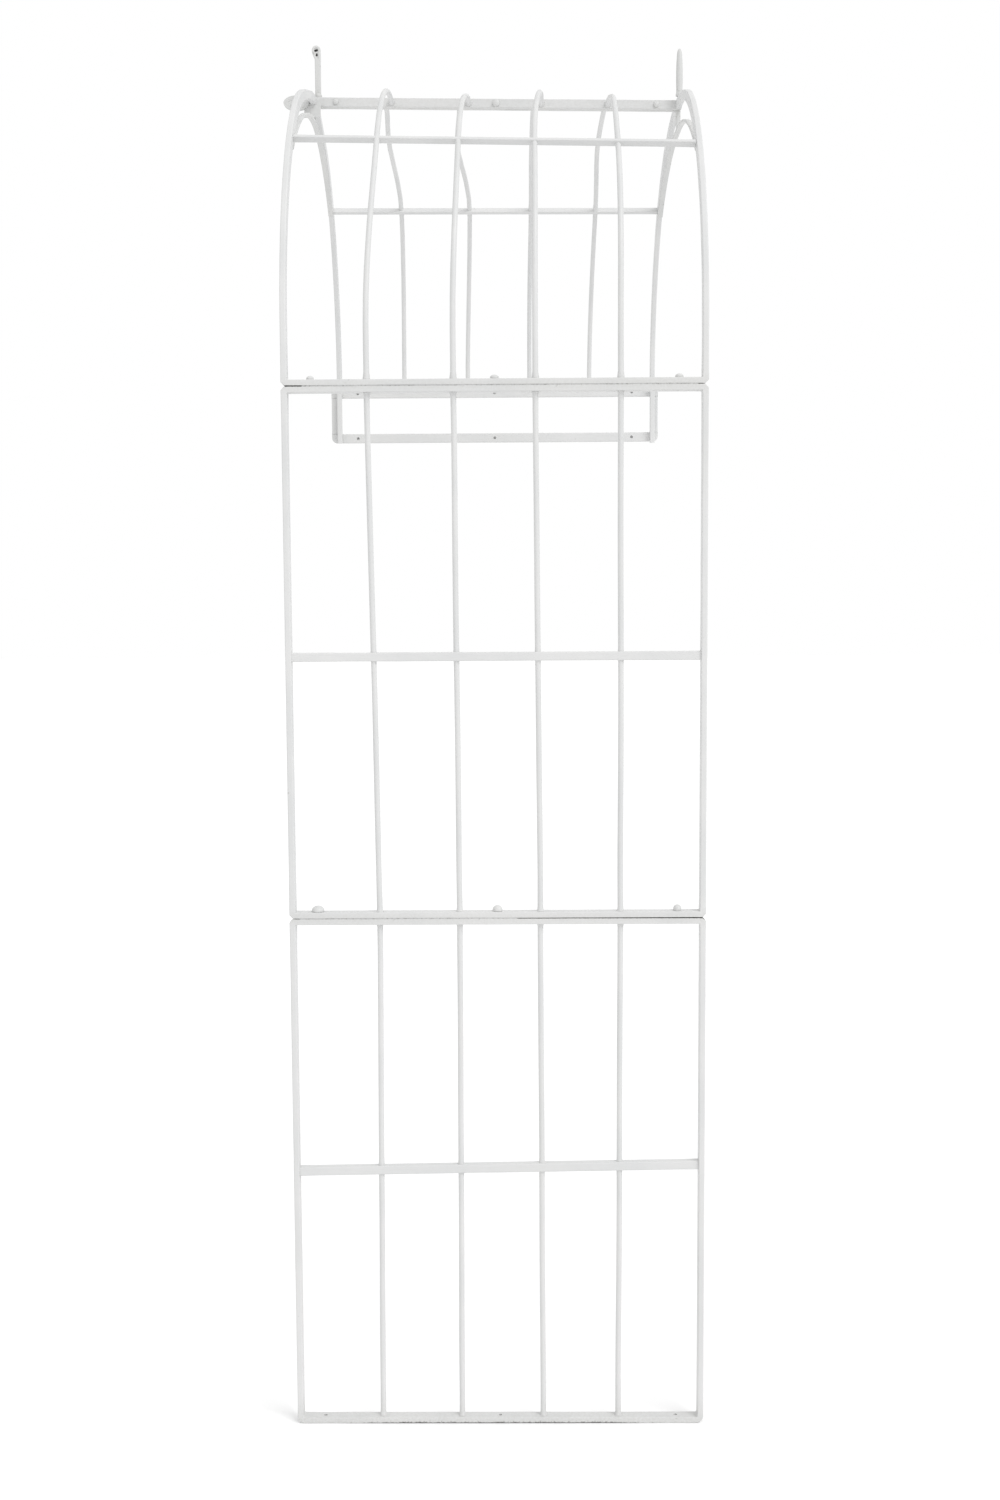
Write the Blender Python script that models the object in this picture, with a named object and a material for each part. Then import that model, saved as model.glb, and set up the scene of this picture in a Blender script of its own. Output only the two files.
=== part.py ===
"""White iron rose arch with one ladder-like leg, a round crown and a wall frame at its back.

Metres, +Z up. X runs across the walkway's side, Y from the leg to the wall.
Each panel is a bent bar frame: two rails, end strips with bent corners, a punched cross bar
and four round rods. The panels are bolted together through their end strips.
"""

import math

import bmesh
import bpy
from mathutils import Matrix, Vector

# Overall sizes
panel_width = 0.650
leg_section_height = 0.820
span = 0.940
arch_upright = 0.0895
arch_end_run = 0.004
back_foot_angle = math.radians(1.95)
back_foot_shift = 0.0085

# Flat bar of the rails and end strips
bar_depth = 0.022
bar_thickness = 0.0095
corner_radius = 0.012
corner_run = 0.003
bar_chamfer = 0.0008
ridge_strip_depth = 0.016
ridge_lean = math.radians(0.9)

# Round rods
rod_count = 4
rod_diameter = 0.009
rod_drift_at_foot = (0.004, 0.003, 0.005, -0.003)
rod_drift_at_mid_leg = (0.008, 0.005, 0.003, 0.0)
rod_drift_at_springing = (-0.003, 0.001, -0.002, 0.0)
front_rod_drift_at_bar = (0.008, 0.008, -0.001, 0.002)
front_rod_drift_at_ridge = (0.009, 0.016, 0.015, 0.004)
back_rod_drift_at_wall = (0.005, 0.007, 0.005, -0.001)
back_rod_drift_at_bar = (0.009, 0.014, 0.005, 0.003)
back_rod_drift_at_crown = (-0.006, -0.007, 0.003, -0.003)
back_rod_drift_at_ridge = (-0.002, 0.0, 0.002, 0.0)
back_crown_angle = math.radians(72)

# Cross bars
leg_bar_depth = 0.014
leg_bar_height = 0.014
arch_bar_depth = 0.014
arch_bar_height = 0.007
lower_cross_bar_level = 0.418
upper_cross_bar_level = 1.228
front_cross_bar_angle = math.radians(41.95)
back_cross_bar_angle = math.radians(47.9)
lower_cross_bar_lean = math.radians(-0.9)
front_cross_bar_lean = math.radians(2.0)
back_cross_bar_lean = math.radians(0.5)

# Bolts through the end strips
bolt_inset = 0.044
bolt_diameter = 0.008
bolt_head_rim = 0.002
mid_leg_head_diameters = (0.020, 0.016, 0.013)
mid_leg_head_height = 0.009
springing_head_diameters = (0.012, 0.014, 0.013)
springing_head_height = 0.006
ridge_head_diameters = (0.010, 0.013, 0.010)
ridge_head_height = 0.0045
foot_hole_diameter = 0.006

# Flat frame against the wall
wall_frame_overhang = 0.010
wall_frame_shift = 0.011
wall_frame_height = 0.110
wall_bar_height = 0.019
wall_bar_thickness = 0.0095
wall_post_width = 0.016
wall_hole_diameter = 0.0055
wall_corner_radius = 0.011
rail_tail_drop = (0.0, 0.003)

# Crown braces under the ridge
brace_thickness = 0.005
brace_drop = 0.027
brace_lug_length = 0.010

# Finials on the ridge
finial_foot_diameter = 0.013
finial_foot_height = 0.006
finial_foot_rim = 0.0035
spear_height = 0.080
spear_belly_level = 0.028
spear_neck_diameter = 0.009
spear_belly_diameter = 0.012
spear_tip_diameter = 0.005
stem_height = 0.076
stem_width = 0.0105
stem_depth = 0.007
curl_radius = 0.0055
curl_drop = 0.006
curl_bar_thickness = 0.0042

# Scroll outside the left rail at the ridge
scroll_strip_thickness = 0.004
scroll_strip_width = 0.012
scroll_hump_radius = 0.0095
scroll_hump_level = 0.010
scroll_tail = 0.016
scroll_drop = 0.004
scroll_outer_radius = 0.0135
scroll_inner_radius = 0.003
scroll_turns = 2.0

# Fits
seam = 0.0003
joint_gap = 0.0008
rod_clearance = 0.0005
bolt_clearance = 0.0005

# Fineness of round shapes
corner_steps = 4
arch_steps = 16
rod_bevel_resolution = 3
hole_sides = 16
turned_sides = 12
scroll_steps_per_turn = 12

# Places that follow from the sizes
rail_x = panel_width / 2 - bar_thickness / 2
bolt_x = panel_width / 2 - bolt_inset
springing = 2 * leg_section_height
corner_reach = corner_radius + corner_run
rail_end = joint_gap / 2 + corner_reach + seam
arch_radius = span / 2 - rail_end - arch_end_run
arch_centre_z = springing + arch_upright
ridge_z = arch_centre_z + arch_radius
strip_face = joint_gap / 2 + bar_thickness
wall_face_y = span + bar_depth / 2
back_foot_z = arch_centre_z + arch_radius * math.sin(back_foot_angle) - arch_end_run
wall_frame_top = back_foot_z - seam
wall_frame_width = panel_width + 2 * wall_frame_overhang
across_bar_length = panel_width - 2 * bar_thickness - 2 * seam
wall_bar_front = wall_face_y - wall_bar_thickness
ridge_slope = math.tan(ridge_lean)


def clear_scene():
    """Remove every object of the open file."""
    for old in list(bpy.data.objects):
        bpy.data.objects.remove(old, do_unlink=True)


def painted_iron(name):
    """White hand-painted iron."""
    material = bpy.data.materials.new(name + "_paint")
    material.use_nodes = True
    shader = material.node_tree.nodes["Principled BSDF"]
    shader.inputs["Base Color"].default_value = (0.80, 0.80, 0.77, 1.0)
    shader.inputs["Roughness"].default_value = 0.55
    shader.inputs["Metallic"].default_value = 0.0
    return material


def add_object(name, data, matrix=Matrix()):
    """Link a mesh or curve as one sub-part under the arch's empty."""
    piece = bpy.data.objects.new(name, data)
    bpy.context.scene.collection.objects.link(piece)
    piece.parent = arch
    piece.matrix_local = matrix
    if data.materials is not None and not data.materials:
        data.materials.append(painted_iron(name))
    return piece


def add_mesh(name, shape, matrix=Matrix(), smooth=False):
    """Turn a bmesh into a sub-part, with its faces pointing out."""
    bmesh.ops.recalc_face_normals(shape, faces=shape.faces[:])
    mesh = bpy.data.meshes.new(name)
    shape.to_mesh(mesh)
    shape.free()
    if smooth:
        mesh.shade_smooth()
        mesh.set_sharp_from_angle(angle=math.radians(40))
    return add_object(name, mesh, matrix)


def hide_guide(guide):
    """Keep a cutter or a joined shape out of the model itself."""
    guide.hide_render = True
    guide.display_type = "WIRE"


def chamfer(piece, width=bar_chamfer):
    """Ease the long edges of a bar."""
    edge = piece.modifiers.new("Chamfer", "BEVEL")
    edge.width = width
    edge.segments = 1
    edge.limit_method = "ANGLE"
    edge.angle_limit = math.radians(50)


def combine(piece, guide, operation):
    """Cut a guide out of a piece, or join it on."""
    step = piece.modifiers.new(guide.name, "BOOLEAN")
    step.operation = operation
    step.solver = "EXACT"
    step.object = guide


def cylinder_between(shape, start, end, diameter, sides):
    """Add a capped cylinder from one point to another."""
    start = Vector(start)
    along = Vector(end) - start
    turn = along.to_track_quat("Z", "Y").to_matrix().to_4x4()
    place = Matrix.Translation(start + along / 2) @ turn
    bmesh.ops.create_cone(
        shape, cap_ends=True, segments=sides, radius1=diameter / 2, radius2=diameter / 2,
        depth=along.length, matrix=place)


def hole_cutter(name, axes, diameter, matrix=Matrix()):
    """One hidden cutter with a cylinder for each pair of end points."""
    shape = bmesh.new()
    for start, end in axes:
        cylinder_between(shape, start, end, diameter, hole_sides)
    cutter = add_mesh(name, shape, matrix)
    hide_guide(cutter)
    return cutter


def straight(_):
    """Sideways shift of a bar that keeps to its plane."""
    return 0.0


def falling(x):
    """Sideways shift of the front ridge strip, lying on its back."""
    return -ridge_slope * x


def rising(x):
    """Sideways shift of the back ridge strip, lying on its face."""
    return ridge_slope * x


def back_shift(y):
    """Sideways shift of the back section between the ridge and the wall."""
    return back_foot_shift * max(0.0, y - span / 2) / (span / 2)


def bent_bar(name, centre_line, width, thickness, matrix=Matrix(), chamfered=True,
             sideways=straight):
    """A flat bar bent along a line in its X-Z plane, with its width along Y."""
    shape = bmesh.new()
    front = [shape.verts.new((x, sideways(x) - width / 2, z)) for x, z in centre_line]
    back = [shape.verts.new((x, sideways(x) + width / 2, z)) for x, z in centre_line]
    for index in range(len(centre_line) - 1):
        shape.faces.new((front[index], front[index + 1], back[index + 1], back[index]))
    mesh = bpy.data.meshes.new(name)
    shape.to_mesh(mesh)
    shape.free()
    piece = add_object(name, mesh, matrix)
    body = piece.modifiers.new("Thickness", "SOLIDIFY")
    body.thickness = thickness
    body.offset = 0.0
    body.use_even_offset = True
    if chamfered:
        chamfer(piece)
    return piece


def box(name, size, matrix=Matrix()):
    """A rectangular bar centred on its own origin."""
    shape = bmesh.new()
    bmesh.ops.create_cube(shape, size=1.0, matrix=Matrix.Diagonal((*size, 1.0)))
    return add_mesh(name, shape, matrix)


def arc(centre, radius, start, end, steps):
    """Points of a circle from one angle to another."""
    cx, cz = centre
    angles = [start + (end - start) * step / steps for step in range(steps + 1)]
    return [(cx + radius * math.cos(angle), cz + radius * math.sin(angle)) for angle in angles]


def arc_through(first, top, last, steps):
    """Points of the circle through three points, from the first to the last."""
    a, b, c = Vector(first), Vector(top), Vector(last)
    double = 2 * (a.x * (b.y - c.y) + b.x * (c.y - a.y) + c.x * (a.y - b.y))
    aa, bb, cc = a.length_squared, b.length_squared, c.length_squared
    centre = Vector((
        (aa * (b.y - c.y) + bb * (c.y - a.y) + cc * (a.y - b.y)) / double,
        (aa * (c.x - b.x) + bb * (a.x - c.x) + cc * (b.x - a.x)) / double))
    start = math.atan2(a.y - centre.y, a.x - centre.x)
    end = math.atan2(c.y - centre.y, c.x - centre.x)
    return arc(centre, (a - centre).length, start, end, steps)


def end_strip(name, matrix, hole_diameter, depth=bar_depth, sideways=straight):
    """A panel's end bar, with both ends bent towards its rails and three bolt holes."""
    bend = corner_radius - bar_thickness / 2
    corner_x = panel_width / 2 - corner_radius
    left = arc((-corner_x, corner_radius), bend, math.pi, 1.5 * math.pi, corner_steps)
    right = arc((corner_x, corner_radius), bend, 1.5 * math.pi, 2 * math.pi, corner_steps)
    line = [(-rail_x, corner_reach)] + left + right + [(rail_x, corner_reach)]
    strip = bent_bar(name, line, depth, bar_thickness, matrix, sideways=sideways)
    axes = [((x, sideways(x), -bar_thickness), (x, sideways(x), 2 * bar_thickness))
            for x in (-bolt_x, 0, bolt_x)]
    combine(strip, hole_cutter(name + "_holes", axes, hole_diameter, matrix), "DIFFERENCE")
    return strip


def rail_frame(side):
    """Place for a rail drawn in Y-Z: its line's first number becomes Y."""
    return Matrix.Translation((side * rail_x, 0, 0)) @ Matrix.Rotation(math.pi / 2, 4, "Z")


def straight_rails(panel, low, high):
    """Left and right rail of a leg section."""
    for label, side in (("left", -1), ("right", 1)):
        line = [(0, low), (0, high)]
        bent_bar(f"{panel}_{label}_rail", line, bar_thickness, bar_depth, rail_frame(side))


def rod_x(index):
    """Even place of a rod between the two rails."""
    return -rail_x + (index + 1) * 2 * rail_x / (rod_count + 1)


def mix(low, high, share):
    """Value between two others."""
    return low + (high - low) * share


def cross_bar(name, depth, height, matrix, axes):
    """A bar across a panel, punched for the rods."""
    bar = box(name, (across_bar_length, depth, height), matrix)
    chamfer(bar)
    holes = hole_cutter(name + "_holes", axes, rod_diameter + 2 * rod_clearance)
    combine(bar, holes, "DIFFERENCE")


def leg_section(panel, base, top, base_drift, top_drift, bar_level, lean):
    """Rails, rods and cross bar between a leg section's two end strips."""
    straight_rails(panel, base + corner_reach + seam, top - corner_reach - seam)
    low = base + bar_thickness + seam
    high = top - bar_thickness - seam
    axes = []
    for index in range(rod_count):
        low_x = rod_x(index) + base_drift[index]
        high_x = rod_x(index) + top_drift[index]
        shape = bmesh.new()
        cylinder_between(shape, (low_x, 0, low), (high_x, 0, high), rod_diameter, turned_sides)
        add_mesh(f"{panel}_rod_{index + 1}", shape, smooth=True)
        ends = []
        for level in (bar_level - leg_bar_height, bar_level + leg_bar_height):
            ends.append((mix(low_x, high_x, (level - low) / (high - low)), 0, level))
        axes.append(ends)
    place = Matrix.Translation((0, 0, bar_level)) @ Matrix.Rotation(lean, 4, "Y")
    cross_bar(panel + "_cross_bar", leg_bar_depth, leg_bar_height, place, axes)


def arch_point(angle, x=0.0, offset=0.0):
    """Y and Z on the front quarter circle at an angle; the ridge falls towards +X."""
    radius = arch_radius + offset
    fall = x * ridge_slope * math.sin(angle)
    return arch_radius - radius * math.cos(angle), arch_centre_z + radius * math.sin(angle) - fall


def mirrored(line):
    """The same line seen from the wall side."""
    return [(span - y, z) for y, z in line]


def ridge_level(x):
    """Height of the ridge's mid-line at a place across the panel."""
    return arch_point(math.pi / 2, x)[1]


def quarter_angles(start):
    """Evenly spaced angles of a curved section, from its foot up to the ridge's corner."""
    return [mix(start, math.pi / 2, step / arch_steps) for step in range(arch_steps + 1)]


def drift_at(angle, drifts, index):
    """A rod's place beside its even one, eased between the angles that have a value."""
    for (low, low_drifts), (high, high_drifts) in zip(drifts, drifts[1:]):
        if angle <= high:
            share = (angle - low) / (high - low)
            eased = share * share * (3 - 2 * share)
            return mix(low_drifts[index], high_drifts[index], eased)
    return drifts[-1][1][index]


def rail_route(x, start, foot_z, mirror):
    """Y-Z line of a curved rail: a straight foot, the quarter circle and a straight end."""
    curve = [arch_point(angle, x) for angle in quarter_angles(start)]
    line = [(curve[0][0], foot_z)] + curve + [(span / 2 - rail_end, ridge_level(x))]
    return mirrored(line) if mirror else line


def rod_route(index, start, foot_z, drifts, mirror):
    """Points of a curved rod: a straight foot, the quarter circle and a straight end."""
    points = []
    for angle in quarter_angles(start):
        x = rod_x(index) + drift_at(angle, drifts, index)
        points.append((x, *arch_point(angle, x)))
    foot_x, foot_y, _ = points[0]
    end_x, _, end_z = points[-1]
    points = [(foot_x, foot_y, foot_z)] + points
    points.append((end_x, span / 2 - strip_face - seam, end_z))
    if mirror:
        points = [(x - back_shift(span - y), span - y, z) for x, y, z in points]
    return points


def round_rod(name, points):
    """A rod bent along a line of points."""
    curve = bpy.data.curves.new(name, "CURVE")
    curve.dimensions = "3D"
    curve.bevel_depth = rod_diameter / 2
    curve.bevel_resolution = rod_bevel_resolution
    curve.use_fill_caps = True
    spline = curve.splines.new("POLY")
    spline.points.add(len(points) - 1)
    for point, place in zip(spline.points, points):
        point.co = (*place, 1.0)
    spline.use_smooth = True
    add_object(name, curve)


def passing(points, level):
    """Where a rising line of points passes a level."""
    for low, high in zip(points, points[1:]):
        if level <= high[2]:
            part = (level - low[2]) / (high[2] - low[2])
            return tuple(mix(first, last, part) for first, last in zip(low, high))
    raise ValueError("the cross bar lies above its curved section")


def rail_tail(rail, side, foot_y, drop):
    """Run the front of a back rail down over the wall frame, as in a halved joint."""
    low = wall_frame_top - wall_frame_height - drop
    high = back_foot_z + arch_end_run / 2
    front = foot_y - bar_depth / 2
    back = wall_bar_front - seam
    x = side * rail_x - back_shift(foot_y)
    place = Matrix.Translation((x, (front + back) / 2, (low + high) / 2))
    tail = box(rail.name + "_tail", (bar_thickness, back - front, high - low), place)
    chamfer(tail)
    hide_guide(tail)
    combine(rail, tail, "UNION")


def curved_section(panel, start, foot_zs, drifts, bar_angle, lean, mirror):
    """Rails, rods and cross bar of the front or the back of the arch."""
    rail_foot_z, rod_foot_z = foot_zs
    for label, side, drop in zip(("left", "right"), (-1, 1), rail_tail_drop):
        line = rail_route(side * rail_x, start, rail_foot_z, mirror)
        rail = bent_bar(f"{panel}_{label}_rail", line, bar_thickness, bar_depth,
                        rail_frame(side), sideways=back_shift)
        if mirror:
            rail_tail(rail, side, line[0][0], drop)
    reach = arch_bar_height * math.cos(bar_angle)
    centre_y, centre_z = arch_point(bar_angle)
    axes = []
    for index in range(rod_count):
        points = rod_route(index, start, rod_foot_z, drifts, mirror)
        round_rod(f"{panel}_rod_{index + 1}", points)
        level = centre_z - rod_x(index) * math.sin(lean) * math.cos(bar_angle)
        axes.append([passing(points, level - reach), passing(points, level + reach)])
    tilt = bar_angle if mirror else -bar_angle
    y = span - centre_y if mirror else centre_y
    place = Matrix.Translation((-back_shift(y), y, centre_z)) @ Matrix.Rotation(tilt, 4, "X")
    place = place @ Matrix.Rotation(lean, 4, "Y")
    cross_bar(panel + "_cross_bar", arch_bar_depth, arch_bar_height, place, axes)


def turned(shape, profile):
    """Turn a profile of radius and height about the vertical axis."""
    verts = [shape.verts.new((radius, 0, z)) for radius, z in profile]
    edges = [shape.edges.new(pair) for pair in zip(verts, verts[1:])]
    bmesh.ops.spin(
        shape, geom=verts + edges, cent=(0, 0, 0), axis=(0, 0, 1), angle=2 * math.pi,
        steps=turned_sides, use_merge=True)
    bmesh.ops.remove_doubles(shape, verts=shape.verts[:], dist=0.00001)


def fastener(name, matrix, head_diameter, head_height):
    """Cup-head bolt through a joint whose plane is local Z = 0, its end flush with the far strip."""
    shank = bolt_diameter / 2
    head = head_diameter / 2
    seat = strip_face + seam
    profile = [(0, -strip_face), (shank, -strip_face), (shank, seat), (head, seat)]
    for across, up in arc((0, 0), 1.0, 0, math.pi / 2, 3):
        height = seat + bolt_head_rim + (head_height - bolt_head_rim) * up
        profile.append((head * across, height))
    shape = bmesh.new()
    turned(shape, profile)
    add_mesh(name, shape, matrix, smooth=True)


def wall_bar(name, level, rounded):
    """A flat bar against the wall with three screw holes; its lower corners may be round."""
    left = -wall_frame_shift - wall_frame_width / 2
    right = -wall_frame_shift + wall_frame_width / 2
    half_height = wall_bar_height / 2
    shape = bmesh.new()
    corners = [(left, -half_height), (right, -half_height), (right, half_height),
               (left, half_height)]
    verts = [shape.verts.new((x, wall_bar_front, level + z)) for x, z in corners]
    shape.faces.new(verts)
    if rounded:
        bmesh.ops.bevel(
            shape, geom=verts[:2], offset=wall_corner_radius, segments=corner_steps,
            affect="VERTICES", profile=0.5)
    face = bmesh.ops.extrude_face_region(shape, geom=shape.faces[:])
    moved = [item for item in face["geom"] if isinstance(item, bmesh.types.BMVert)]
    bmesh.ops.translate(shape, verts=moved, vec=(0, wall_bar_thickness, 0))
    bar = add_mesh(name, shape)
    chamfer(bar)
    depth = wall_bar_thickness
    axes = []
    for x in (-bolt_x, 0, bolt_x):
        hole_x = x - wall_frame_shift
        axes.append(((hole_x, wall_bar_front - depth, level), (hole_x, wall_face_y + depth, level)))
    combine(bar, hole_cutter(name + "_holes", axes, wall_hole_diameter), "DIFFERENCE")


def wall_frame():
    """Two flat bars and two short posts that the arch's back stands on."""
    upper_level = wall_frame_top - wall_bar_height / 2
    lower_level = wall_frame_top - wall_frame_height + wall_bar_height / 2
    wall_bar("wall_upper_bar", upper_level, rounded=False)
    wall_bar("wall_lower_bar", lower_level, rounded=True)
    post_height = wall_frame_height - 2 * wall_bar_height - 2 * seam
    post_y = wall_face_y - wall_bar_thickness / 2
    for label, side in (("left", -1), ("right", 1)):
        x = side * (wall_frame_width / 2 - wall_post_width / 2) - wall_frame_shift
        place = Matrix.Translation((x, post_y, (upper_level + lower_level) / 2))
        post = box(f"wall_{label}_post", (wall_post_width, wall_bar_thickness, post_height), place)
        chamfer(post)


def crown_brace(name, side):
    """Thin arc under the crown, in the rail's plane, with a lug up to the ridge."""
    x = side * rail_x
    rail_flatness = arch_radius * (1 - math.cos(math.pi / 4 / arch_steps))
    inset = -(bar_depth / 2 + rail_flatness + seam + brace_thickness / 2)
    first = arch_point(front_cross_bar_angle, x, inset)
    last = mirrored([arch_point(back_cross_bar_angle, x, inset)])[0]
    top = (span / 2, ridge_level(x) - brace_drop)
    line = arc_through(first, top, last, arch_steps)
    brace = bent_bar(name, line, bar_thickness, brace_thickness, rail_frame(side),
                     sideways=back_shift)
    lug_low = ridge_level(x) - brace_drop
    lug_high = min(ridge_level(side * panel_width / 2), ridge_level(side * across_bar_length / 2))
    lug_high -= ridge_strip_depth / 2 + seam
    place = Matrix.Translation((x, span / 2, (lug_low + lug_high) / 2))
    size = (bar_thickness - 2 * bar_chamfer, brace_lug_length, lug_high - lug_low)
    lug = box(name + "_lug", size, place)
    hide_guide(lug)
    combine(brace, lug, "UNION")


def spear_finial(name):
    """Slim tapering spike on a small foot, on the front right rail's end."""
    foot = finial_foot_diameter / 2
    profile = [
        (0, 0), (foot, 0), (foot, finial_foot_rim),
        (spear_neck_diameter / 2, finial_foot_height),
        (spear_belly_diameter / 2, spear_belly_level),
        (spear_tip_diameter / 2, spear_height - spear_tip_diameter / 2),
        (0, spear_height)]
    shape = bmesh.new()
    turned(shape, profile)
    y = span / 2 - rail_end - finial_foot_diameter / 2
    z = ridge_level(rail_x) + bar_depth / 2 + seam
    add_mesh(name, shape, Matrix.Translation((rail_x, y, z)), smooth=True)


def curled_finial(name, x):
    """Flat stem on a small foot, with its thin tip hooked over to the left."""
    z = ridge_level(x - finial_foot_diameter / 2) + ridge_strip_depth / 2 + seam
    place = Matrix.Translation((x, span / 2, z))
    tip_x = (stem_width - curl_bar_thickness) / 2
    over = arc((tip_x - curl_radius, stem_height + curl_drop), curl_radius, 0, math.pi,
               2 * corner_steps)
    line = [(tip_x, stem_height - curl_drop)] + over + [(tip_x - 2 * curl_radius, stem_height)]
    tip = bent_bar(name, line, stem_depth, curl_bar_thickness, place, chamfered=False)
    middle = Matrix.Translation((0, 0, (finial_foot_height + stem_height) / 2 - curl_drop / 2))
    size = (stem_width, stem_depth, stem_height - finial_foot_height + curl_drop)
    stem = box(name + "_stem", size, place @ middle)
    hide_guide(stem)
    combine(tip, stem, "UNION")
    shape = bmesh.new()
    radius = finial_foot_diameter / 2
    turned(shape, [(0, 0), (radius, 0), (radius, finial_foot_height), (0, finial_foot_height)])
    foot = add_mesh(name + "_foot", shape, place)
    hide_guide(foot)
    combine(tip, foot, "UNION")


def ridge_scroll(name):
    """Strip scroll on the left rail's side: a tail, a hump, a short drop and a spiral."""
    hump_x = -(panel_width / 2 + seam + scroll_strip_thickness / 2 + scroll_hump_radius)
    hump_z = ridge_level(-rail_x) + scroll_hump_level
    line = [(hump_x + scroll_hump_radius, hump_z - scroll_tail)]
    line += arc((hump_x, hump_z), scroll_hump_radius, 0, math.pi, 2 * corner_steps)
    eye_x = hump_x - scroll_hump_radius - scroll_outer_radius
    eye_z = hump_z - scroll_drop
    steps = round(scroll_turns * scroll_steps_per_turn)
    for step in range(steps + 1):
        radius = mix(scroll_outer_radius, scroll_inner_radius, step / steps)
        angle = -2 * math.pi * step / scroll_steps_per_turn
        line.append((eye_x + radius * math.cos(angle), eye_z + radius * math.sin(angle)))
    y = span / 2 - joint_gap / 2 - corner_radius - scroll_strip_width / 2
    place = Matrix.Translation((0, y, 0))
    bent_bar(name, line, scroll_strip_width, scroll_strip_thickness, place, chamfered=False)


def centre_on_ground():
    """Move the arch so that its box stands centred on the origin."""
    bpy.context.view_layer.update()
    depsgraph = bpy.context.evaluated_depsgraph_get()
    corners = []
    for piece in arch.children:
        if not piece.hide_render:
            evaluated = piece.evaluated_get(depsgraph)
            mesh = evaluated.to_mesh()
            corners.extend(evaluated.matrix_world @ vertex.co for vertex in mesh.vertices)
            evaluated.to_mesh_clear()
    xs = [corner.x for corner in corners]
    ys = [corner.y for corner in corners]
    zs = [corner.z for corner in corners]
    arch.location = (-(min(xs) + max(xs)) / 2, -(min(ys) + max(ys)) / 2, -min(zs))


clear_scene()
arch = bpy.data.objects.new("rose_arch", None)
bpy.context.scene.collection.objects.link(arch)

# Ladder-like leg: two sections, one on the other
half_gap = joint_gap / 2
joint_hole = bolt_diameter + 2 * bolt_clearance
upside_down = Matrix.Rotation(math.pi, 4, "X")
end_strip("lower_leg_foot_strip", Matrix(), foot_hole_diameter)
lower_top = leg_section_height - half_gap
upper_base = leg_section_height + half_gap
upper_top = springing - half_gap
end_strip("lower_leg_top_strip", Matrix.Translation((0, 0, lower_top)) @ upside_down, joint_hole)
leg_section("lower_leg", 0, lower_top, rod_drift_at_foot, rod_drift_at_mid_leg,
            lower_cross_bar_level, lower_cross_bar_lean)
end_strip("upper_leg_base_strip", Matrix.Translation((0, 0, upper_base)), joint_hole)
end_strip("upper_leg_top_strip", Matrix.Translation((0, 0, upper_top)) @ upside_down, joint_hole)
leg_section("upper_leg", upper_base, upper_top, rod_drift_at_mid_leg, rod_drift_at_springing,
            upper_cross_bar_level, 0.0)

# Front of the arch, on the leg
arch_base = springing + half_gap
end_strip("front_arch_base_strip", Matrix.Translation((0, 0, arch_base)), joint_hole)
ridge_place = Matrix.Translation((0, span / 2 - half_gap, ridge_z))
ridge_place = ridge_place @ Matrix.Rotation(math.pi / 2, 4, "X")
end_strip("front_arch_ridge_strip", ridge_place, joint_hole, ridge_strip_depth, falling)
front_drifts = (
    (0.0, rod_drift_at_springing),
    (front_cross_bar_angle, front_rod_drift_at_bar),
    (math.pi / 2, front_rod_drift_at_ridge))
front_feet = (springing + rail_end, springing + strip_face + seam)
curved_section("front_arch", 0.0, front_feet, front_drifts, front_cross_bar_angle,
               front_cross_bar_lean, mirror=False)

# Back of the arch, down to the wall frame
ridge_place = Matrix.Translation((0, span / 2 + half_gap, ridge_z))
ridge_place = ridge_place @ Matrix.Rotation(-math.pi / 2, 4, "X")
end_strip("back_arch_ridge_strip", ridge_place, joint_hole, ridge_strip_depth, rising)
back_drifts = (
    (back_foot_angle, back_rod_drift_at_wall),
    (back_cross_bar_angle, back_rod_drift_at_bar),
    (back_crown_angle, back_rod_drift_at_crown),
    (math.pi / 2, back_rod_drift_at_ridge))
curved_section("back_arch", back_foot_angle, (back_foot_z, back_foot_z), back_drifts,
               back_cross_bar_angle, back_cross_bar_lean, mirror=True)
wall_frame()

# Bolts of the three joints
heads_forward = Matrix.Rotation(math.pi / 2, 4, "X")
for joint, y, levels, turn, diameters, height in (
        ("mid_leg", 0, (leg_section_height,) * 3, Matrix(),
         mid_leg_head_diameters, mid_leg_head_height),
        ("springing", 0, (springing,) * 3, Matrix(),
         springing_head_diameters, springing_head_height),
        ("ridge", span / 2, [ridge_level(x) for x in (-bolt_x, 0, bolt_x)], heads_forward,
         ridge_head_diameters, ridge_head_height)):
    for label, x, level, diameter in zip(
            ("left", "centre", "right"), (-bolt_x, 0, bolt_x), levels, diameters):
        place = Matrix.Translation((x, y, level)) @ turn
        fastener(f"{joint}_{label}_bolt", place, diameter, height)

# Crown: braces, finials and scroll
finial_x = panel_width / 2 - corner_radius
crown_brace("left_crown_brace", -1)
crown_brace("right_crown_brace", 1)
curled_finial("left_finial", -finial_x)
spear_finial("right_finial")
ridge_scroll("left_ridge_scroll")

centre_on_ground()
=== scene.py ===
import math

import bmesh
import bpy
from bpy.props import FloatProperty, FloatVectorProperty, PointerProperty
from mathutils import Matrix, Vector, noise


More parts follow.
